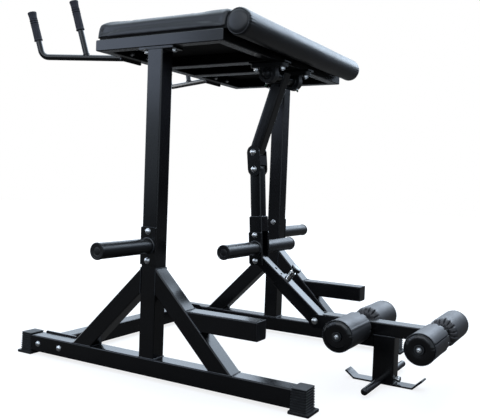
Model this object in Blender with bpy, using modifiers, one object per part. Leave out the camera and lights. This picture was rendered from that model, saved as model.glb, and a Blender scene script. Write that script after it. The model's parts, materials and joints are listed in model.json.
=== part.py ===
"""Reverse hyperextension machine: a padded table on a welded frame, with a jointed pendulum.

Metres, +Z up. +X points to the end where the feet swing, +Y goes across the machine, and
"left" is -Y. Heights are counted from the floor. The last step moves everything so that
the origin is at the centre of the floor area that the machine covers.
"""
import math

import bmesh
import bpy
from mathutils import Matrix, Vector

X = Vector((1.0, 0.0, 0.0))
Y = Vector((0.0, 1.0, 0.0))
Z = Vector((0.0, 0.0, 1.0))
SIDES = ((-1, "left"), (1, "right"))

# Gaps and tolerances
SEAM = 0.0003           # between two pieces that touch or are welded together
RUNNING = 0.0003        # around a shaft or bolt in its hole
BITE = 0.0015           # how deep two welded shapes of one piece overlap
WELD_DISTANCE = 1e-5
CUT_DEPTH = 0.4         # cutters run well past what they cut
SHARP_ANGLE = math.radians(32)

# Side frames
HALF_WIDTH = 0.470      # middle of the machine to the outer face of a side frame
TUBE = 0.060            # main square tube
TUBE_WALL = 0.003
TUBE_CORNER = 0.005
RAIL_HALF_LENGTH = 0.5775
RAIL_BOTTOM = 0.0125
BRACE_TOP = 0.3715      # where a brace's upper face meets the upright
BRACE_ANGLE = math.radians(45)

# Rubber feet over the rail ends
FOOT_WALL = 0.003
FOOT_TOP_WALL = 0.005
FOOT_COVER = 0.0445       # how far a foot reaches along its rail
FOOT_END_WALL = 0.0055
FOOT_FLANGE_END = 0.0135
FOOT_FLANGE_SIDE = 0.0055
FOOT_FLANGE_HEIGHT = 0.009

# Bar across the head end
CROSSBAR_INSET = 0.1325  # from the rail's end to the bar's middle
CROSSBAR_PLATE_LENGTH = 0.150
CROSSBAR_PLATE_MARGIN = 0.006  # plate above and below the bar
PLATE = 0.006
PLATE_CORNER = 0.004
PLATE_MOUTH = 0.036     # hole in a plate that closes a tube's end

# Plate on top of an upright
TOP_PLATE_LENGTH = 0.140
TOP_PLATE_INSET = 0.001
TOP_PLATE = 0.007

# Foot steps
STEP_TOP = 0.2495
STEP_START = 0.10       # inside the brace; the brace's face cuts the tube there
STEP_END = 0.4143
CAP_HEAD = 0.004
CAP_PLUG = 0.016
CAP_FIT = 0.0003
CAP_CORNER = 0.003

# Horns for weight plates
HORN_DIAMETER = 0.050
HORN_WALL = 0.003
HORN_RIM = 0.0015       # how far the end rim stands proud of the horn
HORN_RIM_LENGTH = 0.004
HORN_RIM_CHAMFER = 0.002
HORN_MOUTH = 0.018      # hole in the flange plate, in line with the hollow
STORAGE_HORN_Z = 0.445
STORAGE_HORN_LENGTH = 0.248
STORAGE_PLATE_HEIGHT = 0.125
PENDULUM_HORN_LENGTH = 0.2315
PENDULUM_PLATE_HEIGHT = 0.119

# Frame under the pad
PAD_FRAME_BOTTOM = 1.0934
PAD_FRAME_HEAD = -0.2545
PAD_FRAME_HIP = 0.2585
PAD_TUBE = 0.038
PAD_TUBE_WALL = 0.0025
PAD_TUBE_CORNER = 0.003
CENTRE_TUBE_WIDTH = 0.050
CENTRE_TUBE_Y = 0.097
BEARING_PLATE = (0.150, 0.046)
BEARING_PLATE_THICKNESS = 0.005
SHIM_INSET = 0.002

# Handles
HANDLE_Y = 0.260
HANDLE_DROP = 0.0067    # arm's axis below the middle of the head tube
HANDLE_SPLAY = math.radians(24)
HANDLE_LEAN = math.radians(15.5)
HANDLE_RADIUS = 0.011
HANDLE_REACH = 0.353
HANDLE_MIDDLE = 0.180
HANDLE_BEND = 0.032
END_GRIP = (0.062, 0.171)
MIDDLE_GRIP = (0.105, 0.216)
GRIP_WALL = 0.0035
GRIP_END = 0.0035
GRIP_FIT = 0.00002      # foam sits tight on its bar
GRIP_STEPS = 14
GRIP_RING = 0.001       # how far the rings stand out and in
GRIP_RING_PITCH = 0.008
GRIP_RINGS_AT = 0.74    # first ring, as a share of the grip's length
GRIP_FLARE = 0.003
HANDLE_PLATE = (0.115, 0.045)
HANDLE_PLATE_Y = 0.280

# Padded table
BOARD = 0.012
BOARD_INSET = 0.006
CUSHION_OVER_HEAD = 0.0015  # cushion beyond the frame under it
CUSHION_OVER_HIP = 0.0035
CUSHION_LIFT = 0.001
CUSHION_EDGE = 0.0505
CUSHION_CROWN = 0.012
CUSHION_DRAW = 0.004
PAD_SIDE_INSET = 0.001
BOARD_CORNER = 0.010
CUSHION_MARGIN = 0.030  # outer grid lines of the cushion's cage, from its edges
ROLL_RADIUS = 0.0435
ROLL_GAP = 0.0005        # between the cushion and the roll
ROLL_RISE = 0.0175      # roll's axis above the top of the pad frame
BOARD_INTO_ROLL = 0.029
ROLL_SEAM_RADIUS = 0.038
ROLL_EDGE = 0.007

# Bearings and shaft
SHAFT_INSET = 0.0365     # from the frame's hip end to the shaft
SHAFT_RADIUS = 0.0125
SHAFT_DROP = 0.0365     # shaft's axis below the plate that its bearings hang from
SHAFT_END = 0.010       # shaft beyond the bearing
HOUSING_WALL = 0.0125
HOUSING_WIDTH = 0.030
HOUSING_FOOT = (0.140, 0.038)
HOUSING_FOOT_HEIGHT = 0.014
HOUSING_FOOT_CORNER = 0.012
HOUSING_NECK_SHARE = 0.95  # neck's width, as a share of the housing's
INSERT_WALL = 0.008
INSERT_COLLAR = 0.004
INSERT_WIDTH = 0.038
BOSS_WALL = 0.0065
BOSS_END_GAP = 0.001

# Pendulum, upper part
ARM = 0.045
ARM_WALL = 0.003
ARM_ABOVE_SHAFT = 0.024
LINK_TOP = Vector((0.1305, 0.0, 0.7775))
LINK_BOTTOM = Vector((0.1370, 0.0, 0.7143))
LINK_EDGE = 0.0035       # link's round ends beyond the arm's face
LINK_PLATE = 0.005
LINK_SIDE_GAP = 0.002
LINK_WEB = 0.003
LINK_WEB_GAP = 0.001
LINK_WEB_MARGIN = 0.014  # web stops this far from each bolt's axis
BOLT_RADIUS = 0.006
BOLT_HEAD_RIM = 0.0045   # head beyond the shank
BOLT_HEAD = 0.007
BOLT_TIP = 0.003        # shank beyond the nut

# Pendulum, lower part
HORN_AXIS = Vector((0.1563, 0.0, 0.4205))
LOWER_ARM_LENGTH = 0.3580
CHANNEL_STEP = 0.004     # channel's face beyond the arm's
CHANNEL_WALL = 0.0075
CHANNEL_LENGTH = 0.180
CHANNEL_SLOT_LENGTH = 0.126
CHANNEL_BACK = 0.004
CHANNEL_CORNER = 0.003
ROUND_END_INSET = 0.0002  # keeps a round end's cutter off the tube's own faces
DIAGONAL_POINT = Vector((0.1815, 0.0, 0.3638))
DIAGONAL_SLOPE = math.radians(38.5)
INNER_TUBE = 0.040
INNER_TUBE_END = 0.204
HOLE_PITCH = 0.030
HOLE_COUNT = 5
FIRST_HOLE = 0.048
PIN_HOLE = 2            # the hole that the pin sits in, counted from 0
SLEEVE_WALL = 0.0045
SLEEVE_BORE_GAP = 0.0005
SLEEVE_START = 0.084
SLEEVE_CORNER = 0.004
HINGE_AT = 0.2917       # hinge bolt's distance along the diagonal
PIN_RADIUS = 0.005
PIN_LIFT = 0.0006       # tip above the inner tube: the pin is drawn out of its hole
PIN_DROP = 0.0085       # from there down into the hole
PIN_SHOULDER = 0.003     # neck beyond the pin
PIN_ENTRY = 0.001       # how far the neck reaches into the barrel
PIN_BARREL_WALL = 0.003
PIN_BARREL_HEIGHT = 0.033
PIN_BARREL_ROOT = 0.001  # how much wider the hole in the sleeve's wall is than the barrel's bore
KNOB_CLEARANCE = 0.0005  # under the knob when the pin is down
KNOB_HEIGHT = 0.016
KNOB_RADIUS = 0.019

# Roller bar
BAR_SIDE_GAP = 0.005     # from the sleeve's side to the bar's outer face
BAR_HEIGHT = 0.044
BAR_RISE = 0.0050       # bar's axis above the hinge bolt
BAR_START = 0.0275
BAR_END = 0.452
EAR_RADIUS = 0.024
EAR_PLATE = 0.005
EAR_REACH = 0.081
AXLES = (("inner", 0.1639, 0.053), ("outer", 0.4255, 0.050))  # from the hinge, and the rollers' radius
AXLE_RADIUS = 0.0125
ROLLER_GAP = 0.006      # between the bar and a roller
ROLLER_OUTER = 0.233
ROLLER_PLAY = 0.0008
ROLLER_FACE = 0.72      # radius of the disc in a roller's outer end, as a share of its own
WASHER = 0.003
POST_REACH = 0.2527
POST_DEPTH = 0.073
POST_WALL = 0.004
GUSSET_LENGTH = 0.053
GUSSET_DEPTH = 0.0405
BAR_CORNER = 0.004
BAR_END_PLATE = 0.004
POST_CORNER = 0.0055
EAR_OVERLAP = 0.0005

# Peg, hook and thumb screw at the foot of the post
HOOK_THICKNESS = 0.006
HOOK_WIDTH = 0.050
HOOK_BASE = (-0.1035, 0.1015)
HOOK_WINGS = ((-0.032, 0.0235), (0.033, 0.0305))
PEG_RADIUS = 0.0115
PEG_HALF_LENGTH = 0.210
PEG_LIFT = 0.003         # between the peg and the hook under it
THUMB_RADIUS = 0.004
THUMB_KNOB_RADIUS = 0.0105
THUMB_KNOB = 0.016
THUMB_NECK = 0.004
THUMB_KNOB_GAP = 0.002

# Worked out from the sizes above
SIDE_Y = HALF_WIDTH - TUBE / 2
RAIL_TOP = RAIL_BOTTOM + TUBE
RAIL_Z = RAIL_BOTTOM + TUBE / 2
FOOT_INNER_END = RAIL_HALF_LENGTH - FOOT_COVER
CROSSBAR_X = CROSSBAR_INSET - RAIL_HALF_LENGTH
CROSSBAR_PLATE_HEIGHT = TUBE + 2 * CROSSBAR_PLATE_MARGIN
STORAGE_PLATE = (TUBE, STORAGE_PLATE_HEIGHT)
GRIP_RADIUS = HANDLE_RADIUS + GRIP_WALL
PAD_FRAME_TOP = PAD_FRAME_BOTTOM + PAD_TUBE
CUSHION_HEAD = PAD_FRAME_HEAD - CUSHION_OVER_HEAD
CUSHION_HIP = PAD_FRAME_HIP + CUSHION_OVER_HIP
ROLL_X = CUSHION_HIP + ROLL_RADIUS + ROLL_GAP
BOARD_BOTTOM = PAD_FRAME_TOP + SEAM
BOARD_TOP = BOARD_BOTTOM + BOARD
ROLL_Z = PAD_FRAME_TOP + ROLL_RISE
BEARING_TOP = PAD_FRAME_BOTTOM - SEAM - BEARING_PLATE_THICKNESS
SHAFT_X = PAD_FRAME_HIP - SHAFT_INSET
SHAFT = Vector((SHAFT_X, 0.0, BEARING_TOP - SHAFT_DROP))
INSERT_RADIUS = SHAFT_RADIUS + INSERT_WALL
BOSS_RADIUS = SHAFT_RADIUS + BOSS_WALL
HOUSING_RADIUS = INSERT_RADIUS + HOUSING_WALL
HOUSING_NECK = 2 * HOUSING_RADIUS * HOUSING_NECK_SHARE
BOLT_HEAD_RADIUS = BOLT_RADIUS + BOLT_HEAD_RIM
LINK_RADIUS = ARM / 2 + LINK_EDGE
CHANNEL = ARM + 2 * CHANNEL_STEP
PENDULUM_PLATE = (CHANNEL, PENDULUM_PLATE_HEIGHT)
SLEEVE = INNER_TUBE + 2 * (SLEEVE_WALL + SLEEVE_BORE_GAP)
BAR_WIDTH = SLEEVE + 2 * BAR_SIDE_GAP
POST = (POST_DEPTH, BAR_WIDTH)
PIN_NECK_RADIUS = PIN_RADIUS + PIN_SHOULDER
PIN_BARREL_RADIUS = PIN_NECK_RADIUS + PIN_BARREL_WALL
PIN_BARREL_TOP = SLEEVE / 2 + PIN_BARREL_HEIGHT
KNOB_BOTTOM = PIN_BARREL_TOP + PIN_DROP + KNOB_CLEARANCE
KNOB_TOP = KNOB_BOTTOM + KNOB_HEIGHT
UP_ARM = (SHAFT - LINK_TOP).normalized()
UP_LINK = (LINK_TOP - LINK_BOTTOM).normalized()
DOWN_LOWER = (HORN_AXIS - LINK_BOTTOM).normalized()
DIAGONAL = Vector((math.cos(DIAGONAL_SLOPE), 0.0, -math.sin(DIAGONAL_SLOPE)))
DIAGONAL_UP = Vector((math.sin(DIAGONAL_SLOPE), 0.0, math.cos(DIAGONAL_SLOPE)))
HINGE = DIAGONAL_POINT + DIAGONAL * HINGE_AT
PIN_AT = FIRST_HOLE + PIN_HOLE * HOLE_PITCH
BAR_AXIS_Z = HINGE.z + BAR_RISE
ROLLER_INNER = BAR_WIDTH / 2 + ROLLER_GAP
POST_X = HINGE.x + POST_REACH
POST_BOTTOM = HOOK_THICKNESS + SEAM
PEG_Z = HOOK_THICKNESS + PEG_LIFT + PEG_RADIUS

FINISHES = {
    "black_paint": ((0.012, 0.013, 0.016), 0.38, 0.0),
    "zinc_steel": ((0.62, 0.62, 0.60), 0.30, 1.0),
    "bearing_iron": ((0.020, 0.022, 0.024), 0.50, 0.0),
    "black_rubber": ((0.014, 0.014, 0.015), 0.65, 0.0),
    "black_plastic": ((0.012, 0.012, 0.013), 0.45, 0.0),
    "black_vinyl": ((0.010, 0.011, 0.014), 0.36, 0.0),
    "grip_foam": ((0.035, 0.038, 0.045), 0.85, 0.0),
    "board_wood": ((0.050, 0.045, 0.040), 0.80, 0.0),
}


def empty_scene():
    """Remove whatever the scene holds."""
    for old in list(bpy.data.objects):
        bpy.data.objects.remove(old, do_unlink=True)


def new_collection(name):
    """A collection of the scene."""
    collection = bpy.data.collections.new(name)
    bpy.context.scene.collection.children.link(collection)
    return collection


def finish(name):
    """The material of that name, made on first use."""
    known = bpy.data.materials.get(name)
    if known:
        return known
    colour, roughness, metallic = FINISHES[name]
    made = bpy.data.materials.new(name)
    made.use_nodes = True
    shader = made.node_tree.nodes["Principled BSDF"]
    shader.inputs["Base Color"].default_value = (*colour, 1.0)
    shader.inputs["Roughness"].default_value = roughness
    shader.inputs["Metallic"].default_value = metallic
    return made


def at(origin, along=Z, up=Y):
    """Place whose local Z runs along a direction and whose local Y leans to another."""
    z_axis = Vector(along).normalized()
    y_axis = (Vector(up) - Vector(up).dot(z_axis) * z_axis).normalized()
    x_axis = y_axis.cross(z_axis)
    turn = Matrix((x_axis, y_axis, z_axis)).transposed()
    return Matrix.Translation(Vector(origin)) @ turn.to_4x4()


def guide(mesh, place):
    """Put a mesh in the scene as a guide; part() turns it into a piece of the machine."""
    made = bpy.data.objects.new("guide", mesh)
    CUTTERS.objects.link(made)
    made.hide_render = True
    made.display_type = 'WIRE'
    made.matrix_world = place
    return made


def carry(piece, carrier):
    """Parent a piece to its carrier without moving it."""
    piece.parent = carrier
    piece.matrix_parent_inverse = carrier.matrix_world.inverted()


def part(name, shape, finish_name, carrier=None):
    """Make a shape a named piece of the machine."""
    CUTTERS.objects.unlink(shape)
    MACHINE.objects.link(shape)
    shape.name = name
    shape.hide_render = False
    shape.display_type = 'TEXTURED'
    shape.data.materials.clear()
    shape.data.materials.append(finish(finish_name))
    if carrier:
        carry(shape, carrier)
    return shape


def pivot(name, place, carrier=None):
    """Empty on a joint's axis, its Z along the axis; it carries the pieces that move there."""
    made = bpy.data.objects.new(name, None)
    MACHINE.objects.link(made)
    made.empty_display_size = 0.05
    made.matrix_world = place
    if carrier:
        carry(made, carrier)
    return made


def combine(target, operation, *tools):
    """Add Boolean modifiers; the tools stay with their target."""
    for tool in tools:
        modifier = target.modifiers.new(operation.title(), 'BOOLEAN')
        modifier.operation = operation
        modifier.solver = 'EXACT'
        modifier.object = tool
        carry(tool, target)
    return target


def rounded_rectangle(width, height, radius, steps=2):
    """Outline about the origin, each corner an arc of a few steps."""
    points = []
    corners = ((1, 1, 0), (-1, 1, 90), (-1, -1, 180), (1, -1, 270))
    for x_sign, y_sign, start in corners:
        centre_x = x_sign * (width / 2 - radius)
        centre_y = y_sign * (height / 2 - radius)
        for step in range(steps + 1):
            angle = math.radians(start + 90 * step / steps)
            points.append((centre_x + radius * math.cos(angle), centre_y + radius * math.sin(angle)))
    return points


def circle(radius, count=24):
    """Round outline about the origin."""
    turn = 2 * math.pi / count
    return [(radius * math.cos(turn * i), radius * math.sin(turn * i)) for i in range(count)]


def round_ended(length, radius, square_end=False, steps=8):
    """Outline from the origin up local Y, round at the origin and round or square at its end."""
    points = []
    for step in range(steps + 1):
        angle = math.pi + math.pi * step / steps
        points.append((radius * math.cos(angle), radius * math.sin(angle)))
    if square_end:
        return points + [(radius, length), (-radius, length)]
    for step in range(steps + 1):
        angle = math.pi * step / steps
        points.append((radius * math.cos(angle), length + radius * math.sin(angle)))
    return points


def thick_line(points, thickness):
    """Outline of a bent strip that lies above a line of points."""
    upper = []
    for index, point in enumerate(points):
        before = points[max(index - 1, 0)]
        after = points[min(index + 1, len(points) - 1)]
        first = Vector((point[0] - before[0], point[1] - before[1]))
        second = Vector((after[0] - point[0], after[1] - point[1]))
        first = first.normalized() if first.length else second.normalized()
        second = second.normalized() if second.length else first
        middle = (first + second).normalized()
        normal = Vector((-middle.y, middle.x))
        reach = thickness / max(middle.dot(second), 0.2)
        upper.append((point[0] + normal.x * reach, point[1] + normal.y * reach))
    return list(points) + upper[::-1]


def welded_mesh(curve, place):
    """Turn a curve into a closed mesh guide at a place."""
    source = bpy.data.objects.new("curve", curve)
    CUTTERS.objects.link(source)
    source.matrix_world = place
    graph = bpy.context.evaluated_depsgraph_get()
    mesh = bpy.data.meshes.new_from_object(source.evaluated_get(graph))
    work = bmesh.new()
    work.from_mesh(mesh)
    bmesh.ops.remove_doubles(work, verts=work.verts, dist=WELD_DISTANCE)
    bmesh.ops.recalc_face_normals(work, faces=work.faces)
    work.to_mesh(mesh)
    work.free()
    mesh.shade_smooth()
    mesh.set_sharp_from_angle(angle=SHARP_ANGLE)
    made = guide(mesh, place)
    bpy.data.objects.remove(source)
    return made


def extruded(loops, depth, place):
    """Flat outlines, holes included, drawn to a depth along local Z, half to each side."""
    curve = bpy.data.curves.new("outline", 'CURVE')
    curve.dimensions = '2D'
    curve.fill_mode = 'BOTH'
    curve.extrude = depth / 2
    for loop in loops:
        spline = curve.splines.new('POLY')
        spline.points.add(len(loop) - 1)
        for point, (x, y) in zip(spline.points, loop):
            point.co = (x, y, 0.0, 1.0)
        spline.use_cyclic_u = True
    return welded_mesh(curve, place)


def pipe(points, radius, sides=3):
    """Round bar along world points."""
    curve = bpy.data.curves.new("pipe", 'CURVE')
    curve.dimensions = '3D'
    curve.fill_mode = 'FULL'
    curve.bevel_depth = radius
    curve.bevel_resolution = sides
    curve.use_fill_caps = True
    spline = curve.splines.new('POLY')
    spline.points.add(len(points) - 1)
    for point, place in zip(spline.points, points):
        point.co = (*place, 1.0)
    return welded_mesh(curve, Matrix.Identity(4))


def turned(profile, place, steps=24, ring=False):
    """Turned shape about local Z; the profile of (radius, height) runs down its outer side."""
    mesh = bpy.data.meshes.new("profile")
    edges = [(i, i + 1) for i in range(len(profile) - 1)]
    if ring:
        edges.append((len(profile) - 1, 0))
    mesh.from_pydata([(radius, 0.0, height) for radius, height in profile], edges, [])
    made = guide(mesh, place)
    screw = made.modifiers.new("Screw", 'SCREW')
    screw.steps = steps
    screw.render_steps = steps
    screw.use_merge_vertices = True
    screw.merge_threshold = WELD_DISTANCE
    screw.use_smooth_shade = True
    return made


def block(size, place):
    """Box about a place."""
    work = bmesh.new()
    bmesh.ops.create_cube(work, size=1.0, matrix=Matrix.Diagonal((*size, 1.0)))
    mesh = bpy.data.meshes.new("block")
    work.to_mesh(mesh)
    work.free()
    return guide(mesh, place)


def drill(radius, length, place, sides=16):
    """Round cutter about local Z."""
    work = bmesh.new()
    bmesh.ops.create_cone(work, cap_ends=True, segments=sides, radius1=radius, radius2=radius, depth=length)
    mesh = bpy.data.meshes.new("drill")
    work.to_mesh(mesh)
    work.free()
    return guide(mesh, place)


def tube(width, height, wall, length, place, corner=TUBE_CORNER):
    """Open-ended rectangular tube: length along local Z, height along local Y."""
    outer = rounded_rectangle(width, height, corner)
    inner = rounded_rectangle(width - 2 * wall, height - 2 * wall, max(corner - wall, 0.002))
    return extruded([outer, inner], length, place)


def rod_profile(radius, low, high, chamfer=0.001):
    """Profile of a chamfered rod between two heights."""
    return [(0.0, high), (radius - chamfer, high), (radius, high - chamfer),
            (radius, low + chamfer), (radius - chamfer, low), (0.0, low)]


def ring_profile(radius, bore, low, high, chamfer=0.001):
    """Profile of a chamfered ring between two heights, for a turned ring."""
    return [(bore, high)] + rod_profile(radius, low, high, chamfer)[1:-1] + [(bore, low)]


def bolt(name, centre, half_grip, carrier):
    """Bolt across the machine with a domed head on the left and a nut on the right."""
    shank = BOLT_RADIUS
    head = BOLT_HEAD_RADIUS
    left = -half_grip - SEAM
    right = half_grip + SEAM
    nut = right + BOLT_HEAD
    profile = [(0.0, nut + BOLT_TIP), (shank, nut + BOLT_TIP - 0.001), (shank, nut),
               (head - 0.001, nut), (head, nut - 0.001), (head, right),
               (shank, right), (shank, left), (head, left), (head, left - 0.002),
               (head * 0.75, left - BOLT_HEAD * 0.7), (head * 0.4, left - BOLT_HEAD * 0.93),
               (0.0, left - BOLT_HEAD)]
    return part(name, turned(profile, at(centre, Y, Z), steps=12), "zinc_steel", carrier)


def horn(name, centre, side, length, plate_size, plate_up, carrier=None):
    """Round horn for weight plates on a flange plate; its hollow is open at the flange."""
    outward = Y * side
    plate_centre = centre + outward * (SEAM + PLATE / 2)
    flange = extruded([rounded_rectangle(*plate_size, PLATE_CORNER), circle(HORN_MOUTH, 20)], PLATE,
                      at(plate_centre, outward, plate_up))
    radius = HORN_DIAMETER / 2
    rim = radius + HORN_RIM
    inner = radius - HORN_WALL
    root = SEAM + PLATE - BITE
    profile = [(0.0, length), (rim - HORN_RIM_CHAMFER, length), (rim, length - HORN_RIM_CHAMFER),
               (rim, length - HORN_RIM_LENGTH), (radius, length - HORN_RIM_LENGTH), (radius, root),
               (inner, root), (inner, length - HORN_WALL), (0.0, length - HORN_WALL)]
    bar = turned(profile, at(centre, outward, plate_up), steps=20)
    return part(name, combine(flange, 'UNION', bar), "black_paint", carrier)


def foot_cap(name, x_side, y):
    """Rubber shoe over a rail end, with a flange on the floor."""
    inner = FOOT_INNER_END
    outer = RAIL_HALF_LENGTH + FOOT_END_WALL
    width = TUBE + 2 * FOOT_WALL
    top = RAIL_TOP + FOOT_TOP_WALL
    middle = x_side * (inner + outer) / 2
    body = extruded([rounded_rectangle(outer - inner, width, PLATE_CORNER)], top, at((middle, y, top / 2)))
    flange_length = outer - inner + FOOT_FLANGE_END + FOOT_FLANGE_SIDE
    flange_x = middle + x_side * (FOOT_FLANGE_END - FOOT_FLANGE_SIDE) / 2
    flange = extruded([rounded_rectangle(flange_length, width + 2 * FOOT_FLANGE_SIDE, PLATE_CORNER)],
                      FOOT_FLANGE_HEIGHT, at((flange_x, y, FOOT_FLANGE_HEIGHT / 2)))
    pocket_x = x_side * (RAIL_HALF_LENGTH + SEAM - CUT_DEPTH / 2)
    pocket = extruded([rounded_rectangle(TUBE + 2 * SEAM, TUBE + 2 * SEAM, TUBE_CORNER)], CUT_DEPTH,
                      at((pocket_x, y, RAIL_Z), X, Z))
    combine(body, 'UNION', flange)
    combine(body, 'DIFFERENCE', pocket)
    return part(name, body, "black_rubber")


def side_frame(side, label):
    """Rail, upright, two braces, step, horn and feet of one side."""
    y = side * SIDE_Y
    rail = tube(TUBE, TUBE, TUBE_WALL, 2 * RAIL_HALF_LENGTH, at((0, y, RAIL_Z), X, Z))
    part(f"base_rail_{label}", rail, "black_paint")
    for x_side, end in ((-1, "head"), (1, "hip")):
        foot_cap(f"foot_cap_{end}_{label}", x_side, y)

    upright_bottom = RAIL_TOP + SEAM
    plate_bottom = PAD_FRAME_BOTTOM - SEAM - TOP_PLATE
    upright_length = plate_bottom + BITE - upright_bottom
    upright = tube(TUBE, TUBE, TUBE_WALL, upright_length, at((0, y, upright_bottom + upright_length / 2)))
    plate_width = TUBE - 2 * TOP_PLATE_INSET
    top_plate = extruded([rounded_rectangle(TOP_PLATE_LENGTH, plate_width, PLATE_CORNER),
                          rounded_rectangle(PLATE_MOUTH, PLATE_MOUTH, PLATE_CORNER)],
                         TOP_PLATE, at((0, y, plate_bottom + TOP_PLATE / 2)))
    part(f"upright_{label}", combine(upright, 'UNION', top_plate), "black_paint")

    for x_side, end in ((-1, "head"), (1, "hip")):
        brace(f"brace_{end}_{label}", x_side, y)
    step(label, y)
    horn(f"storage_horn_{label}", Vector((0, side * HALF_WIDTH, STORAGE_HORN_Z)), side,
         STORAGE_HORN_LENGTH, STORAGE_PLATE, Z)


def brace(name, x_side, y):
    """Sloping tube between upright and rail, cut square to both."""
    down = Vector((x_side * math.cos(BRACE_ANGLE), 0, -math.sin(BRACE_ANGLE)))
    upward = Vector((x_side * math.sin(BRACE_ANGLE), 0, math.cos(BRACE_ANGLE)))
    start = Vector((x_side * TUBE / 2, y, BRACE_TOP)) - upward * TUBE / 2
    span = (BRACE_TOP - RAIL_TOP) / math.sin(BRACE_ANGLE)
    strut = tube(TUBE, TUBE, TUBE_WALL, span + 4 * TUBE, at(start + down * span / 2, down, upward))
    depth = CUT_DEPTH
    reach = 3 * CUT_DEPTH
    upright_side = block((depth, TUBE * 2, reach), at((x_side * (TUBE / 2 + SEAM - depth / 2), y, BRACE_TOP)))
    rail_side = block((reach, TUBE * 2, depth), at((x_side * BRACE_TOP, y, RAIL_TOP + SEAM - depth / 2)))
    part(name, combine(strut, 'DIFFERENCE', upright_side, rail_side), "black_paint")


def step(label, y):
    """Foot step from the hip brace, with a plastic cap in its open end."""
    tube_end = STEP_END - CAP_HEAD - SEAM
    step_z = STEP_TOP - TUBE / 2
    rung = tube(TUBE, TUBE, TUBE_WALL, tube_end - STEP_START,
                at(((STEP_START + tube_end) / 2, y, step_z), X, Z))
    upward = Vector((math.sin(BRACE_ANGLE), 0, math.cos(BRACE_ANGLE)))
    depth = CUT_DEPTH
    face = Vector((TUBE / 2, y, BRACE_TOP)) + upward * (SEAM - depth / 2)
    under_brace = block((TUBE * 2, depth, 3 * CUT_DEPTH), at(face, Vector((upward.z, 0, -upward.x)), upward))
    part(f"step_tube_{label}", combine(rung, 'DIFFERENCE', under_brace), "black_paint")

    head_x = STEP_END - CAP_HEAD / 2
    head = extruded([rounded_rectangle(TUBE, TUBE, TUBE_CORNER)], CAP_HEAD, at((head_x, y, step_z), X, Z))
    plug_size = TUBE - 2 * (TUBE_WALL + CAP_FIT)
    plug_x = STEP_END - CAP_HEAD - CAP_PLUG / 2 + BITE
    plug = extruded([rounded_rectangle(plug_size, plug_size, CAP_CORNER)], CAP_PLUG,
                    at((plug_x, y, step_z), X, Z))
    part(f"step_cap_{label}", combine(head, 'UNION', plug), "black_plastic")


def crossbar():
    """Bar between the rails at the head end, with a plate at each end for its bolts."""
    inner_face = HALF_WIDTH - TUBE
    tube_half = inner_face - SEAM - PLATE + BITE
    bar = tube(TUBE, TUBE, TUBE_WALL, 2 * tube_half, at((CROSSBAR_X, 0, RAIL_Z), Y, Z))
    for side, _ in SIDES:
        plate_y = side * (inner_face - SEAM - PLATE / 2)
        outline = rounded_rectangle(CROSSBAR_PLATE_LENGTH, CROSSBAR_PLATE_HEIGHT, PLATE_CORNER)
        plate = extruded([outline, circle(PLATE_MOUTH / 2)], PLATE, at((CROSSBAR_X, plate_y, RAIL_Z), Y, Z))
        combine(bar, 'UNION', plate)
    part("base_crossbar", bar, "black_paint")


def mitre(target, corner, inward):
    """Cut a tube along the plane through a corner of the pad frame, keeping the inner side."""
    inward = Vector(inward).normalized()
    centre = Vector(corner) - inward * (CUT_DEPTH / 2 - SEAM / 2)
    cutter = block((CUT_DEPTH, CUT_DEPTH, CUT_DEPTH), at(centre, Z, Z.cross(inward)))
    combine(target, 'DIFFERENCE', cutter)


def pad_frame():
    """Mitred frame under the pad, and two centre tubes with the plates for the bearings."""
    z = PAD_FRAME_BOTTOM + PAD_TUBE / 2
    half = PAD_TUBE / 2
    length = PAD_FRAME_HIP - PAD_FRAME_HEAD
    middle = (PAD_FRAME_HIP + PAD_FRAME_HEAD) / 2
    ends = ((-1, "head", PAD_FRAME_HEAD), (1, "hip", PAD_FRAME_HIP))
    for side, label in SIDES:
        rail = tube(PAD_TUBE, PAD_TUBE, PAD_TUBE_WALL, length,
                    at((middle, side * (HALF_WIDTH - half), z), X, Z), PAD_TUBE_CORNER)
        for x_side, _, x in ends:
            mitre(rail, (x, side * HALF_WIDTH, z), (-x_side, side, 0))
        part(f"pad_rail_{label}", rail, "black_paint")
    for x_side, end, x in ends:
        cross = tube(PAD_TUBE, PAD_TUBE, PAD_TUBE_WALL, 2 * HALF_WIDTH,
                     at((x - x_side * half, 0, z), Y, Z), PAD_TUBE_CORNER)
        for side, _ in SIDES:
            mitre(cross, (x, side * HALF_WIDTH, z), (x_side, -side, 0))
        part(f"pad_{end}_tube", cross, "black_paint")
    centre_length = length - 2 * (PAD_TUBE + SEAM)
    for side, label in SIDES:
        centre = tube(CENTRE_TUBE_WIDTH, PAD_TUBE, PAD_TUBE_WALL, centre_length,
                      at((middle, side * CENTRE_TUBE_Y, z), X, Z), PAD_TUBE_CORNER)
        plate = extruded([rounded_rectangle(*BEARING_PLATE, PLATE_CORNER)], BEARING_PLATE_THICKNESS,
                         at((SHAFT_X, side * CENTRE_TUBE_Y, BEARING_TOP + BEARING_PLATE_THICKNESS / 2)))
        shim_end = PAD_FRAME_HIP - PAD_TUBE - SEAM - SHIM_INSET
        shim_start = SHAFT_X - BEARING_PLATE[0] / 2 + SHIM_INSET
        shim = block((shim_end - shim_start, BEARING_PLATE[1] - 2 * SHIM_INSET, 2 * BITE),
                     at(((shim_end + shim_start) / 2, side * CENTRE_TUBE_Y, PAD_FRAME_BOTTOM)))
        part(f"centre_tube_{label}", combine(centre, 'UNION', plate, shim), "black_paint")


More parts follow.
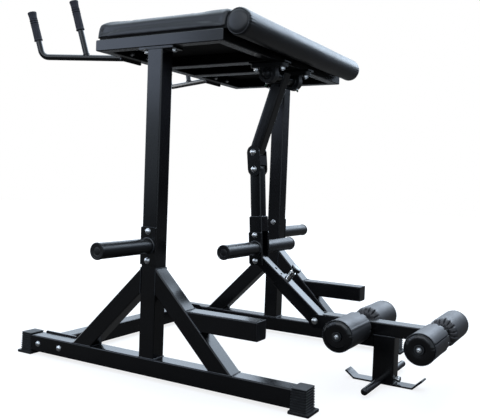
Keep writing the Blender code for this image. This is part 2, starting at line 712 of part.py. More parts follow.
def bent_path(start, corner, end, radius, steps=6):
    """Line from start to end that rounds a corner."""
    back = (start - corner).normalized()
    ahead = (end - corner).normalized()
    half_turn = back.angle(ahead) / 2
    setback = radius / math.tan(half_turn)
    first = corner + back * setback
    last = corner + ahead * setback
    centre = corner + (back + ahead).normalized() * (radius / math.sin(half_turn))
    points = [start]
    for step in range(steps + 1):
        spoke = (first - centre).normalized().slerp((last - centre).normalized(), step / steps)
        points.append(centre + spoke * radius)
    points.append(end)
    return points


def handle(side, label):
    """Bent arm with two upright bars on a plate, and a foam grip on each bar."""
    root = Vector((PAD_FRAME_HEAD - SEAM - PLATE + BITE, side * HANDLE_Y,
                   PAD_FRAME_BOTTOM + PAD_TUBE / 2 - HANDLE_DROP))
    outward = Vector((-math.cos(HANDLE_SPLAY), side * math.sin(HANDLE_SPLAY), 0))
    upward = outward * math.sin(HANDLE_LEAN) + Z * math.cos(HANDLE_LEAN)
    corner = root + outward * HANDLE_REACH
    bar_end = END_GRIP[1] - GRIP_END - SEAM
    path = bent_path(root - outward * PAD_TUBE, corner, corner + upward * bar_end, HANDLE_BEND)
    arm = pipe(path, HANDLE_RADIUS)
    behind_plate = block((CUT_DEPTH, CUT_DEPTH, CUT_DEPTH), at(root + X * CUT_DEPTH / 2))
    combine(arm, 'DIFFERENCE', behind_plate)
    fork = root + outward * HANDLE_MIDDLE
    bar = pipe([fork, fork + upward * (MIDDLE_GRIP[1] - GRIP_END - SEAM)], HANDLE_RADIUS)
    plate_top = PAD_FRAME_TOP - 0.001
    plate_centre = (PAD_FRAME_HEAD - SEAM - PLATE / 2, side * HANDLE_PLATE_Y, plate_top - HANDLE_PLATE[1] / 2)
    plate = extruded([rounded_rectangle(*HANDLE_PLATE, PLATE_CORNER)], PLATE, at(plate_centre, X, Z))
    part(f"handle_arm_{label}", combine(plate, 'UNION', arm, bar), "black_paint")
    for foot, span, name in ((corner, END_GRIP, "end"), (fork, MIDDLE_GRIP, "middle")):
        grip(f"grip_{name}_{label}", foot + upward * span[0], upward, span[1] - span[0])


def grip(name, foot, upward, length):
    """Foam grip, closed at the top, with a flared lower end and three rings."""
    outer = GRIP_RADIUS
    bore = HANDLE_RADIUS / math.cos(math.pi / GRIP_STEPS) + GRIP_FIT
    profile = [(0.0, length), (outer * 0.7, length), (outer, length - 0.003)]
    for ring in range(3):
        ring_z = length * GRIP_RINGS_AT - ring * GRIP_RING_PITCH
        profile += [(outer - GRIP_RING, ring_z), (outer + GRIP_RING, ring_z - GRIP_RING_PITCH / 2)]
    profile += [(outer - GRIP_RING, ring_z - GRIP_RING_PITCH), (outer - GRIP_RING, 0.010),
                (outer + GRIP_FLARE, GRIP_FLARE), (outer + GRIP_FLARE, 0.0),
                (bore, 0.0), (bore, length - GRIP_END), (0.0, length - GRIP_END)]
    part(name, turned(profile, at(foot, upward), steps=GRIP_STEPS), "grip_foam")


def table():
    """Board, crowned cushion and round hip roll."""
    board_end = ROLL_X - ROLL_RADIUS + BOARD_INTO_ROLL
    board_half = HALF_WIDTH - PAD_SIDE_INSET - BOARD_INSET
    board_start = CUSHION_HEAD + BOARD_INSET
    board_length = board_end - board_start
    board_x = (board_start + board_end) / 2
    board_z = BOARD_BOTTOM + BOARD / 2
    board = extruded([rounded_rectangle(board_length, 2 * board_half, BOARD_CORNER, 3)], BOARD,
                     at((board_x, 0, board_z)))
    part("pad_board", board, "board_wood")

    cushion = cushion_shape()
    pocket_length = CUSHION_HIP + CUT_DEPTH - board_start
    pocket = block((pocket_length, 2 * (board_half + SEAM), CUT_DEPTH),
                   at((board_start - SEAM + pocket_length / 2, 0, BOARD_TOP + SEAM - CUT_DEPTH / 2)))
    part("pad_cushion", combine(cushion, 'DIFFERENCE', pocket), "black_vinyl")

    half = HALF_WIDTH - PAD_SIDE_INSET
    end = [(0.0, half), (ROLL_SEAM_RADIUS, half), (ROLL_RADIUS - 0.0015, half - 0.003),
           (ROLL_RADIUS, half - ROLL_EDGE), (ROLL_RADIUS, half / 3)]
    other_end = [(radius, -height) for radius, height in reversed(end)]
    roll = turned(end + other_end, at((ROLL_X, 0, ROLL_Z), Y, Z), steps=36)
    slot_length = BOARD_INTO_ROLL + ROLL_RADIUS
    slot = block((slot_length, 2 * (board_half + SEAM), BOARD + 2 * SEAM),
                 at((board_end + SEAM - slot_length / 2, 0, board_z)))
    part("hip_roll", combine(roll, 'DIFFERENCE', slot), "black_vinyl")


def cushion_shape():
    """Crowned cushion whose sides draw in between its corners."""
    work = bmesh.new()
    bmesh.ops.create_cube(work, size=2.0)
    bmesh.ops.subdivide_edges(work, edges=work.edges[:], cuts=5, use_grid_fill=True)
    half_x = (CUSHION_HIP - CUSHION_HEAD) / 2
    half_y = HALF_WIDTH - PAD_SIDE_INSET
    middle_x = (CUSHION_HIP + CUSHION_HEAD) / 2
    bottom = PAD_FRAME_TOP + CUSHION_LIFT
    for corner in work.verts:
        u, v, w = corner.co
        draw = 1 - w * w
        spread_x = spread(u, CUSHION_MARGIN / half_x)
        spread_y = spread(v, CUSHION_MARGIN / half_y)
        x = middle_x + spread_x * (half_x - CUSHION_DRAW * draw * (1 - v * v))
        y = spread_y * (half_y - CUSHION_DRAW * draw * (1 - u * u))
        crown = CUSHION_CROWN * (1 - spread_x ** 4) * (1 - spread_y ** 4)
        z = bottom + (CUSHION_EDGE + crown) * (w + 1) / 2
        corner.co = (x, y, z)
    mesh = bpy.data.meshes.new("cushion")
    work.to_mesh(mesh)
    work.free()
    mesh.shade_smooth()
    made = guide(mesh, Matrix.Identity(4))
    soften = made.modifiers.new("Soften", 'SUBSURF')
    soften.levels = 1
    soften.render_levels = 1
    return made


def spread(value, margin):
    """Move the outer grid lines of a cage next to its edges, a margin away."""
    steps = {0: 0.0, 1: 0.5, 2: 1 - margin, 3: 1.0}
    line = round(abs(value) * 3)
    return math.copysign(steps[line], value)


def bearings(swing):
    """Two flanged bearings under the centre tubes, their turning inserts and the shaft."""
    for side, label in SIDES:
        centre = SHAFT + Y * side * CENTRE_TUBE_Y
        place = at(centre, Y, Z)
        foot_z = SHAFT_DROP - SEAM - HOUSING_FOOT_HEIGHT / 2
        foot = extruded([rounded_rectangle(*HOUSING_FOOT, HOUSING_FOOT_CORNER, 3)], HOUSING_FOOT_HEIGHT,
                        at(centre + Z * foot_z))
        neck_height = SHAFT_DROP - HOUSING_FOOT_HEIGHT / 2
        neck = block((HOUSING_NECK, neck_height, HOUSING_WIDTH - 2 * BITE),
                     at(centre + Z * neck_height / 2, Y, Z))
        housing = extruded([circle(HOUSING_RADIUS, 28)], HOUSING_WIDTH, place)
        combine(foot, 'UNION', neck, housing)
        combine(foot, 'DIFFERENCE', drill(INSERT_RADIUS + RUNNING, CUT_DEPTH, place, 28))
        part(f"pillow_block_{label}", foot, "bearing_iron")

        inner = SHAFT_RADIUS + RUNNING
        half = INSERT_WIDTH / 2
        ring = inner + INSERT_COLLAR
        profile = [(inner, half), (ring, half), (ring, half - 0.006), (INSERT_RADIUS, half - 0.008),
                   (INSERT_RADIUS, 0.008 - half), (ring, 0.006 - half), (ring, -half), (inner, -half)]
        part(f"bearing_insert_{label}", turned(profile, place, steps=20, ring=True), "bearing_iron", swing)
    shaft_half = CENTRE_TUBE_Y + INSERT_WIDTH / 2 + SHAFT_END
    shaft = turned(rod_profile(SHAFT_RADIUS, -shaft_half, shaft_half), at(SHAFT, Y, Z), steps=20)
    part("pivot_shaft", shaft, "bearing_iron", swing)


def upper_arm(swing):
    """Square tube that hangs from the shaft on a boss, round at its lower end."""
    span = (SHAFT - LINK_TOP).length
    full = span + ARM_ABOVE_SHAFT
    arm = tube(ARM, ARM, ARM_WALL, full + ARM, at(LINK_TOP + UP_ARM * (full - ARM) / 2, UP_ARM, X))
    envelope = extruded([round_ended(full, ARM / 2 - ROUND_END_INSET, square_end=True)], CUT_DEPTH,
                        at(LINK_TOP, Y, UP_ARM))
    combine(arm, 'INTERSECT', envelope)
    combine(arm, 'DIFFERENCE', drill(BOLT_RADIUS + RUNNING, CUT_DEPTH, at(LINK_TOP, Y, Z)))
    boss_half = CENTRE_TUBE_Y - INSERT_WIDTH / 2 - BOSS_END_GAP
    bore = SHAFT_RADIUS + RUNNING
    combine(arm, 'DIFFERENCE', drill((bore + BOSS_RADIUS) / 2, CUT_DEPTH, at(SHAFT, Y, Z), 20))
    profile = ring_profile(BOSS_RADIUS, bore, -boss_half, boss_half)
    boss = turned(profile, at(SHAFT, Y, Z), steps=20, ring=True)
    combine(arm, 'UNION', boss)
    part("upper_arm", arm, "black_paint", swing)


def middle_link(link):
    """Two round-ended plates joined by a web on the hip side, and its two bolts."""
    length = (LINK_TOP - LINK_BOTTOM).length
    plate_y = ARM / 2 + LINK_SIDE_GAP + LINK_PLATE / 2
    outline = round_ended(length, LINK_RADIUS)
    plates = [extruded([outline], LINK_PLATE, at(LINK_BOTTOM + Y * side * plate_y, Y, UP_LINK))
              for side, _ in SIDES]
    hipward = Y.cross(UP_LINK)
    web_x = ARM / 2 + LINK_WEB_GAP + LINK_WEB / 2
    web_centre = LINK_BOTTOM + UP_LINK * length / 2 + hipward * web_x
    web_width = 2 * (plate_y + LINK_PLATE / 2) - 0.001
    web = block((LINK_WEB, web_width, length - 2 * LINK_WEB_MARGIN), at(web_centre, UP_LINK, Y))
    combine(web, 'UNION', *plates)
    for centre in (LINK_TOP, LINK_BOTTOM):
        combine(web, 'DIFFERENCE', drill(BOLT_RADIUS + RUNNING, CUT_DEPTH, at(centre, Y, Z)))
    part("link", web, "black_paint", link)
    half_grip = plate_y + LINK_PLATE / 2
    bolt("link_bolt_upper", LINK_TOP, half_grip, link)
    bolt("link_bolt_lower", LINK_BOTTOM, half_grip, link)


def lower_arm(lower):
    """Square tube that widens to a channel, two horns, and the tube that the sleeve slides on."""
    upward = -DOWN_LOWER
    tube_length = LOWER_ARM_LENGTH - CHANNEL_LENGTH + BITE
    arm = tube(ARM, ARM, ARM_WALL, tube_length + ARM,
               at(LINK_BOTTOM + DOWN_LOWER * (tube_length - ARM) / 2, upward, X))
    envelope = extruded([round_ended(tube_length, ARM / 2 - ROUND_END_INSET, square_end=True)], CUT_DEPTH,
                        at(LINK_BOTTOM, Y, DOWN_LOWER))
    combine(arm, 'INTERSECT', envelope)
    channel = tube(CHANNEL, CHANNEL, CHANNEL_WALL, CHANNEL_LENGTH,
                   at(LINK_BOTTOM + DOWN_LOWER * (LOWER_ARM_LENGTH - CHANNEL_LENGTH / 2), upward, X),
                   CHANNEL_CORNER)
    combine(arm, 'UNION', channel)
    slot_width = INNER_TUBE + 2 * SEAM
    hipward = Y.cross(upward)
    slot_length = CHANNEL_SLOT_LENGTH + ARM
    slot_start = LOWER_ARM_LENGTH - CHANNEL_SLOT_LENGTH
    slot_centre = (LINK_BOTTOM + DOWN_LOWER * (slot_start + slot_length / 2) + hipward * CHANNEL_BACK)
    slot = block((CHANNEL, slot_width, slot_length), at(slot_centre, upward, Y))
    combine(arm, 'DIFFERENCE', slot, drill(BOLT_RADIUS + RUNNING, CUT_DEPTH, at(LINK_BOTTOM, Y, Z)))
    part("lower_arm", arm, "black_paint", lower)

    for side, label in SIDES:
        horn(f"pendulum_horn_{label}", HORN_AXIS + Y * side * CHANNEL / 2, side,
             PENDULUM_HORN_LENGTH, PENDULUM_PLATE, upward, lower)

    length = INNER_TUBE_END + 3 * INNER_TUBE
    inner = tube(INNER_TUBE, INNER_TUBE, PAD_TUBE_WALL, length,
                 at(DIAGONAL_POINT + DIAGONAL * (INNER_TUBE_END - length / 2), DIAGONAL, DIAGONAL_UP),
                 PAD_TUBE_CORNER)
    wall_face = LINK_BOTTOM + DOWN_LOWER * LOWER_ARM_LENGTH + hipward * (CHANNEL_BACK + SEAM - CHANNEL / 2)
    behind = block((CUT_DEPTH, CUT_DEPTH, 2 * CUT_DEPTH), at(wall_face - hipward * CUT_DEPTH / 2, upward, Y))
    combine(inner, 'DIFFERENCE', behind)
    for hole in range(HOLE_COUNT):
        centre = DIAGONAL_POINT + DIAGONAL * (FIRST_HOLE + hole * HOLE_PITCH) + DIAGONAL_UP * INNER_TUBE / 2
        combine(inner, 'DIFFERENCE', drill(PIN_RADIUS + RUNNING * 2, INNER_TUBE / 2, at(centre, DIAGONAL_UP)))
    part("extension_tube", inner, "black_paint", lower)


def sleeve(slider, pin):
    """Sleeve that sets the leg length, and the pin that locks it, drawn out of its hole."""
    back_length = HINGE_AT - SLEEVE_START
    length = back_length + SLEEVE
    body = tube(SLEEVE, SLEEVE, SLEEVE_WALL, length,
                at(HINGE - DIAGONAL * (length / 2 - SLEEVE), DIAGONAL, DIAGONAL_UP), SLEEVE_CORNER)
    envelope = extruded([round_ended(back_length, SLEEVE / 2 - ROUND_END_INSET, square_end=True)], CUT_DEPTH,
                        at(HINGE, Y, -DIAGONAL))
    combine(body, 'INTERSECT', envelope)
    pin_foot = DIAGONAL_POINT + DIAGONAL * PIN_AT
    bore = PIN_RADIUS + RUNNING * 2
    neck_bore = PIN_NECK_RADIUS + RUNNING * 2
    neck_floor = PIN_BARREL_TOP - PIN_DROP - 2 * PIN_ENTRY
    root_hole = drill(bore + PIN_BARREL_ROOT, SLEEVE / 2,
                      at(pin_foot + DIAGONAL_UP * SLEEVE / 2, DIAGONAL_UP))
    combine(body, 'DIFFERENCE', root_hole, drill(BOLT_RADIUS + RUNNING, CUT_DEPTH, at(HINGE, Y, Z)))
    profile = ring_profile(PIN_BARREL_RADIUS, neck_bore, SLEEVE / 2 - BITE, PIN_BARREL_TOP)
    profile[-1:] = [(bore, SLEEVE / 2 - BITE), (bore, neck_floor), (neck_bore, neck_floor)]
    combine(body, 'UNION', turned(profile, at(pin_foot, DIAGONAL_UP), steps=16, ring=True))
    part("slider_sleeve", body, "black_paint", slider)

    neck_bottom = PIN_BARREL_TOP - PIN_ENTRY
    tip = INNER_TUBE / 2 + PIN_LIFT
    profile = [(0.0, KNOB_TOP), (KNOB_RADIUS - 0.004, KNOB_TOP), (KNOB_RADIUS, KNOB_TOP - 0.004),
               (KNOB_RADIUS, KNOB_BOTTOM + 0.003), (KNOB_RADIUS - 0.003, KNOB_BOTTOM),
               (PIN_NECK_RADIUS, KNOB_BOTTOM), (PIN_NECK_RADIUS, neck_bottom), (PIN_RADIUS, neck_bottom),
               (PIN_RADIUS, tip + 0.002), (PIN_RADIUS - 0.0015, tip), (0.0, tip)]
    part("pop_pin", turned(profile, at(pin_foot, DIAGONAL_UP), steps=16), "black_plastic", pin)


def roller_bar(bar):
    """Bar with clevis ears, gusset and post, its hinge bolt, axles and foot hook."""
    bar_length = BAR_END - BAR_START
    beam = tube(BAR_WIDTH, BAR_HEIGHT, TUBE_WALL, bar_length,
                at((HINGE.x + (BAR_START + BAR_END) / 2, 0, BAR_AXIS_Z), X, Z), BAR_CORNER)
    end_plate = block((BAR_END_PLATE, BAR_WIDTH - TUBE_WALL, BAR_HEIGHT - TUBE_WALL),
                      at((HINGE.x + BAR_END - BAR_END_PLATE / 2 - 0.001, 0, BAR_AXIS_Z)))
    combine(beam, 'UNION', end_plate)
    ear_outline = round_ended(EAR_REACH, EAR_RADIUS, square_end=True)
    ear_y = BAR_WIDTH / 2 + EAR_PLATE / 2 - EAR_OVERLAP
    for side, _ in SIDES:
        combine(beam, 'UNION', extruded([ear_outline], EAR_PLATE, at(HINGE + Y * side * ear_y, Y, X)))
    bar_bottom = BAR_AXIS_Z - BAR_HEIGHT / 2
    gusset_back = POST_X - POST[0] / 2 - GUSSET_LENGTH
    gusset_bite = BITE / 2
    gusset_length = GUSSET_LENGTH + gusset_bite
    gusset_z = bar_bottom - (GUSSET_DEPTH - gusset_bite) / 2
    gusset = block((gusset_length, BAR_WIDTH - 2 * EAR_OVERLAP, GUSSET_DEPTH + gusset_bite),
                   at((gusset_back + gusset_length / 2, 0, gusset_z)))
    post_height = bar_bottom + BITE - POST_BOTTOM
    post = tube(POST[0], POST[1] - 2 * SEAM, POST_WALL, post_height,
                at((POST_X, 0, POST_BOTTOM + post_height / 2)), POST_CORNER)
    combine(beam, 'UNION', gusset, post)
    combine(beam, 'DIFFERENCE', drill(BOLT_RADIUS + RUNNING, CUT_DEPTH, at(HINGE, Y, Z)),
            drill(PEG_RADIUS + RUNNING, CUT_DEPTH, at((POST_X, 0, PEG_Z), Y, Z)),
            drill(THUMB_RADIUS + RUNNING, 4 * POST_WALL, at((POST_X + POST[0] / 2, 0, PEG_Z), X, Z)))
    for _, reach, _ in AXLES:
        axle_hole = drill(AXLE_RADIUS + RUNNING, CUT_DEPTH, at((HINGE.x + reach, 0, BAR_AXIS_Z), Y, Z))
        combine(beam, 'DIFFERENCE', axle_hole)
    part("roller_bar", beam, "black_paint", bar)
    bolt("hinge_bolt", HINGE, ear_y + EAR_PLATE / 2, bar)
    for label, reach, _ in AXLES:
        axle(label, reach, bar)
    hook_line = [(HOOK_BASE[0] + HOOK_WINGS[0][0], HOOK_WINGS[0][1]), (HOOK_BASE[0], 0.0),
                 (HOOK_BASE[1], 0.0), (HOOK_BASE[1] + HOOK_WINGS[1][0], HOOK_WINGS[1][1])]
    hook = extruded([thick_line(hook_line, HOOK_THICKNESS)], HOOK_WIDTH, at((POST_X, 0, 0), -Y, Z))
    part("hook_bar", hook, "black_paint", bar)


def axle(label, reach, bar):
    """Axle through the bar, with an inner collar and an outer washer and bolt head a side."""
    inner = ROLLER_INNER - ROLLER_PLAY
    outer = ROLLER_OUTER + ROLLER_PLAY
    collar = AXLE_RADIUS + 0.004
    washer = AXLE_RADIUS + 0.003
    face = outer + WASHER
    right = [(0.0, face + 0.006), (0.006, face + 0.006), (0.008, face + 0.003), (0.008, face),
             (washer, face), (washer, outer), (AXLE_RADIUS, outer),
             (AXLE_RADIUS, inner), (collar, inner), (collar, inner - 0.004), (AXLE_RADIUS, inner - 0.004)]
    left = [(radius, -height) for radius, height in reversed(right)]
    shape = turned(right + left, at((HINGE.x + reach, 0, BAR_AXIS_Z), Y, Z), steps=14)
    part(f"axle_{label}", shape, "zinc_steel", bar)


def roller(side, label, position, reach, radius, bar):
    """Foam roller in a vinyl cover: seamed rim outside, gathered end inside."""
    centre = Vector((HINGE.x + reach, 0, BAR_AXIS_Z))
    spin = pivot(f"roller_{position}_{label}_axis", at(centre + Y * side * ROLLER_OUTER, Y, Z), bar)
    bore = AXLE_RADIUS + RUNNING * 2
    low = ROLLER_INNER
    high = ROLLER_OUTER
    profile = [(bore, high), (radius * ROLLER_FACE, high), (radius * ROLLER_FACE + 0.003, high - 0.004),
               (radius - 0.003, high - 0.002), (radius, high - 0.006), (radius, (low + high) / 2),
               (radius - 0.004, low + 0.014), (radius - 0.012, low + 0.004), (radius * 0.5, low), (bore, low)]
    place = at(centre, Y * side, Z)
    part(f"roller_{position}_{label}", turned(profile, place, steps=24, ring=True), "black_vinyl", spin)


def peg_and_screw(peg, screw):
    """Cross peg through the post and the thumb screw that clamps it."""
    radius = PEG_RADIUS
    half = PEG_HALF_LENGTH
    dome = []
    for angle in (0, 30, 60, 90):
        turn = math.radians(angle)
        dome.append((radius * math.sin(turn), half - radius / 2 * (1 - math.cos(turn))))
    profile = dome + [(distance, -height) for distance, height in reversed(dome)]
    part("peg_rod", turned(profile, at((POST_X, 0, PEG_Z), Y, Z), steps=16), "black_paint", peg)

    tip = PEG_RADIUS + RUNNING * 2
    knob_start = POST[0] / 2 + THUMB_KNOB_GAP
    knob_end = knob_start + THUMB_KNOB
    knob = THUMB_KNOB_RADIUS
    neck = knob * 0.6
    profile = [(0.0, knob_end), (knob - 0.002, knob_end), (knob, knob_end - 0.002),
               (knob, knob_start + THUMB_NECK + 0.002), (neck, knob_start + THUMB_NECK), (neck, knob_start),
               (THUMB_RADIUS, knob_start), (THUMB_RADIUS, tip + 0.001), (THUMB_RADIUS - 0.001, tip),
               (0.0, tip)]
    part("thumb_screw", turned(profile, at((POST_X, 0, PEG_Z), X, Z), steps=12), "zinc_steel", screw)


def pendulum():
    """The swinging half: each pivot carries what hangs from it."""
    swing = pivot("pendulum_swing_axis", at(SHAFT, -Y, Z))
    link = pivot("upper_link_axis", at(LINK_TOP, -Y, Z), swing)
    lower = pivot("lower_link_axis", at(LINK_BOTTOM, -Y, Z), link)
    slider = pivot("sleeve_axis", at(DIAGONAL_POINT, DIAGONAL, Y), lower)
    pin = pivot("pop_pin_axis", at(DIAGONAL_POINT + DIAGONAL * PIN_AT, DIAGONAL_UP, Y), slider)
    bar = pivot("roller_bar_axis", at(HINGE, -Y, Z), slider)
    peg = pivot("peg_rod_axis", at((POST_X, 0, PEG_Z), Y, Z), bar)
    screw = pivot("thumb_screw_axis", at((POST_X + POST[0] / 2, 0, PEG_Z), X, Z), bar)
    bearings(swing)
    upper_arm(swing)
    middle_link(link)
    lower_arm(lower)
    sleeve(slider, pin)
    roller_bar(bar)
    for position, reach, radius in AXLES:
        for side, label in SIDES:
            roller(side, label, position, reach, radius, bar)
    peg_and_screw(peg, screw)


def centre_on_floor():
    """Move the machine so that the origin is at the middle of its box, on the floor."""
    graph = bpy.context.evaluated_depsgraph_get()
    corners = []
    for piece in MACHINE.objects:
        if piece.type == 'MESH':
            seen = piece.evaluated_get(graph)
            corners += [seen.matrix_world @ vertex.co for vertex in seen.data.vertices]
    low = Vector([min(corner[axis] for corner in corners) for axis in range(3)])
    high = Vector([max(corner[axis] for corner in corners) for axis in range(3)])
    shift = Vector(((low.x + high.x) / 2, (low.y + high.y) / 2, low.z))
    for piece in list(MACHINE.objects) + list(CUTTERS.objects):
        if piece.parent is None:
            piece.location -= shift


empty_scene()
MACHINE = new_collection("reverse_hyperextension_machine")
CUTTERS = new_collection("cutters")
for frame_side, frame_label in SIDES:
    side_frame(frame_side, frame_label)
crossbar()
pad_frame()
for handle_side, handle_label in SIDES:
    handle(handle_side, handle_label)
table()
pendulum()
centre_on_floor()
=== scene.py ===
"""Looks of the reverse hyperextension machine.

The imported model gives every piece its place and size. This script gives the steel, rubber,
vinyl and foam their finishes, pads the table and the rollers, and adds the bolts, welds and
seams that show on the real machine. Metres, +Z up; +X is the end where the feet swing.
"""

import json
import logging
import math
from dataclasses import dataclass
from enum import Enum
from functools import cache
from typing import Any, Callable, Mapping, Optional, Sequence

import bmesh
import bpy
from mathutils import Matrix, Vector, noise


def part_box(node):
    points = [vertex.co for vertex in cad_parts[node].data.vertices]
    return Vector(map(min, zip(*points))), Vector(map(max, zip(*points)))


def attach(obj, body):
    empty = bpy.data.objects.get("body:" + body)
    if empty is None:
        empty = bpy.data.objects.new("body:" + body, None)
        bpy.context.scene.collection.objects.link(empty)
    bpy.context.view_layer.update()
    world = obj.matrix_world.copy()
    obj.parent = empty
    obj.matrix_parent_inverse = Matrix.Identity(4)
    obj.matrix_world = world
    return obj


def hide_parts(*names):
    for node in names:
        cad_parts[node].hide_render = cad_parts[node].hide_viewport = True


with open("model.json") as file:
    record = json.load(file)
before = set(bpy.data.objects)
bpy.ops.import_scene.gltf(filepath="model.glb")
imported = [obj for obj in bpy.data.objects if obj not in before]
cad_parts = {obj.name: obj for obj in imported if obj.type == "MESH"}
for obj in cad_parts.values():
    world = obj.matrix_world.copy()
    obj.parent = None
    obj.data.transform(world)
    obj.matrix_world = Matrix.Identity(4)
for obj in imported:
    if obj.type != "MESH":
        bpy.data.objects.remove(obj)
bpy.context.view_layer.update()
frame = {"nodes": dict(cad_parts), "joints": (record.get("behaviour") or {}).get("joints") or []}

LOG = logging.getLogger("machine")
X, Y, Z = Vector((1.0, 0.0, 0.0)), Vector((0.0, 1.0, 0.0)), Vector((0.0, 0.0, 1.0))
ENDS = ("head", "hip")
POSITIONS = ("inner", "outer")

Colour = tuple[float, float, float]
Triple = tuple[float, float, float]
Profile = Sequence[tuple[float, float]]
Warp = Callable[[Vector], Vector]
Socket = bpy.types.NodeSocket
Tree = bpy.types.NodeTree
Piece = bpy.types.Object


class Side(Enum):
    """Side of the machine: left is -Y."""

    LEFT = -1
    RIGHT = 1

    def node(self, stem: str) -> str:
        """Name of this side's piece."""
        return f"{stem}_{self.name.lower()}"

    @property
    def outward(self) -> Vector:
        """Direction away from the machine's middle."""
        return Y * self.value


class Head(Enum):
    """What shows at the end of a bolt."""

    HEX = "hex"
    DOME = "dome"
    NUT = "nut"


def both(*stems: str) -> list[str]:
    """Names of the nodes of both sides."""
    return [side.node(stem) for stem in stems for side in Side]


# Places


def at(origin: Vector, along: Vector = Z, up: Optional[Vector] = None) -> Matrix:
    """Make a place from an origin and two directions.

    Args:
        origin: Where the place is.
        along: Direction of its own Z.
        up: Direction that its own Y leans to; +Y, or +Z for a place that points across the machine.

    Returns:
        The place as a matrix.
    """
    z_axis = Vector(along).normalized()
    lean = Vector(up) if up is not None else (Z if abs(z_axis.y) > 0.9 else Y)
    y_axis = (lean - lean.dot(z_axis) * z_axis).normalized()
    turn = Matrix((y_axis.cross(z_axis), y_axis, z_axis)).transposed()
    return Matrix.Translation(Vector(origin)) @ turn.to_4x4()


def shifted(place: Matrix, x: float = 0.0, y: float = 0.0, z: float = 0.0) -> Matrix:
    """Place moved along its own axes."""
    return place @ Matrix.Translation((x, y, z))


def turned_over(place: Matrix) -> Matrix:
    """Place that points the other way."""
    return place @ Matrix.Rotation(math.pi, 4, 'X')


@dataclass(frozen=True)
class Extent:
    """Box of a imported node, read from the frame."""

    low: Vector
    high: Vector

    @classmethod
    def of(cls, node: str) -> "Extent":
        """Box of the node of that name."""
        return cls(*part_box(node))

    @property
    def centre(self) -> Vector:
        """Middle of the box."""
        return (self.low + self.high) / 2

    @property
    def size(self) -> Vector:
        """Length, width and height of the box."""
        return self.high - self.low


def joint_named(name: str) -> Mapping[str, Any]:
    """Joint of that name, from the frame."""
    return next(joint for joint in frame["joints"] if joint["name"] == name)


def joint_place(name: str) -> Vector:
    """Point on the axis of the joint of that name."""
    return Vector(joint_named(name)["pos_m"])


def joint_axis(name: str) -> Vector:
    """Direction of the joint of that name."""
    return Vector(joint_named(name)["axis"]).normalized()


# Outlines and paths


def smooth_step(low: float, high: float, value: float) -> float:
    """Ease from 0 at low to 1 at high."""
    share = min(1.0, max(0.0, (value - low) / (high - low)))
    return share * share * (3 - 2 * share)


def spoke(angle: float) -> Vector:
    """Direction at an angle in the XY plane."""
    return Vector((math.cos(angle), math.sin(angle), 0.0))


def polar(point: Vector) -> tuple[float, float]:
    """Distance from the Z axis and angle about it."""
    return math.hypot(point.x, point.y), math.atan2(point.y, point.x)


def quarter(steps: int) -> list[float]:
    """Angles from 0 to a right angle."""
    return [math.pi / 2 * i / steps for i in range(steps + 1)]


def mirrored(profile: Profile) -> list[tuple[float, float]]:
    """Other half of a profile that is alike at both ends."""
    return [(radius, -height) for radius, height in reversed(profile)]


def rounded(width: float, height: float, radius: float, steps: int = 4) -> list[Vector]:
    """Outline of a rounded rectangle about the origin.

    Args:
        width: Size along X.
        height: Size along Y.
        radius: Corner radius.
        steps: Segments in each corner.

    Returns:
        Points in the XY plane, anticlockwise.
    """
    points = []
    for x_sign, y_sign, start in ((1, 1, 0), (-1, 1, 90), (-1, -1, 180), (1, -1, 270)):
        for step in range(steps + 1):
            angle = math.radians(start + 90 * step / steps)
            points.append(Vector((x_sign * (width / 2 - radius) + radius * math.cos(angle),
                                  y_sign * (height / 2 - radius) + radius * math.sin(angle), 0.0)))
    return points


def ring_points(radius: float, count: int, place: Matrix, height: float = 0.0) -> list[Vector]:
    """Circle of points in a place.

    Args:
        radius: Radius of the circle.
        count: Number of points.
        place: Place whose Z is the circle's axis.
        height: Height along that Z.

    Returns:
        The points.
    """
    turn = 2 * math.pi / count
    return [place @ Vector((radius * math.cos(turn * i), radius * math.sin(turn * i), height))
            for i in range(count)]


def box_path(place: Matrix, width: float, height: float) -> list[Vector]:
    """Corners of a rectangle in the XY plane of a place."""
    x, y = width / 2, height / 2
    return [place @ Vector(corner) for corner in ((x, y, 0.0), (-x, y, 0.0), (-x, -y, 0.0), (x, -y, 0.0))]


def resample(corners: Sequence[Vector], pitch: float) -> list[Vector]:
    """Points at an even pitch around a closed line.

    Args:
        corners: Corners of the line.
        pitch: Distance between points.

    Returns:
        The points.
    """
    points = []
    for first, second in zip(corners, [*corners[1:], corners[0]]):
        count = max(2, round((second - first).length / pitch))
        points += [first.lerp(second, i / count) for i in range(count)]
    return points


def arc_path(start: Vector, corner: Vector, end: Vector, radius: float, steps: int = 14) -> list[Vector]:
    """Line from start to end that rounds a corner.

    Args:
        start: First point.
        corner: Point where the straight runs would meet.
        end: Last point.
        radius: Bend radius.
        steps: Segments in the bend.

    Returns:
        The points along the line.
    """
    back, ahead = (start - corner).normalized(), (end - corner).normalized()
    half_turn = back.angle(ahead) / 2
    centre = corner + (back + ahead).normalized() * (radius / math.sin(half_turn))
    first, last = ((corner + way * radius / math.tan(half_turn) - centre).normalized()
                   for way in (back, ahead))
    bend = [centre + first.slerp(last, i / steps) * radius for i in range(steps + 1)]
    return [start, *bend, end]


# Shader groups


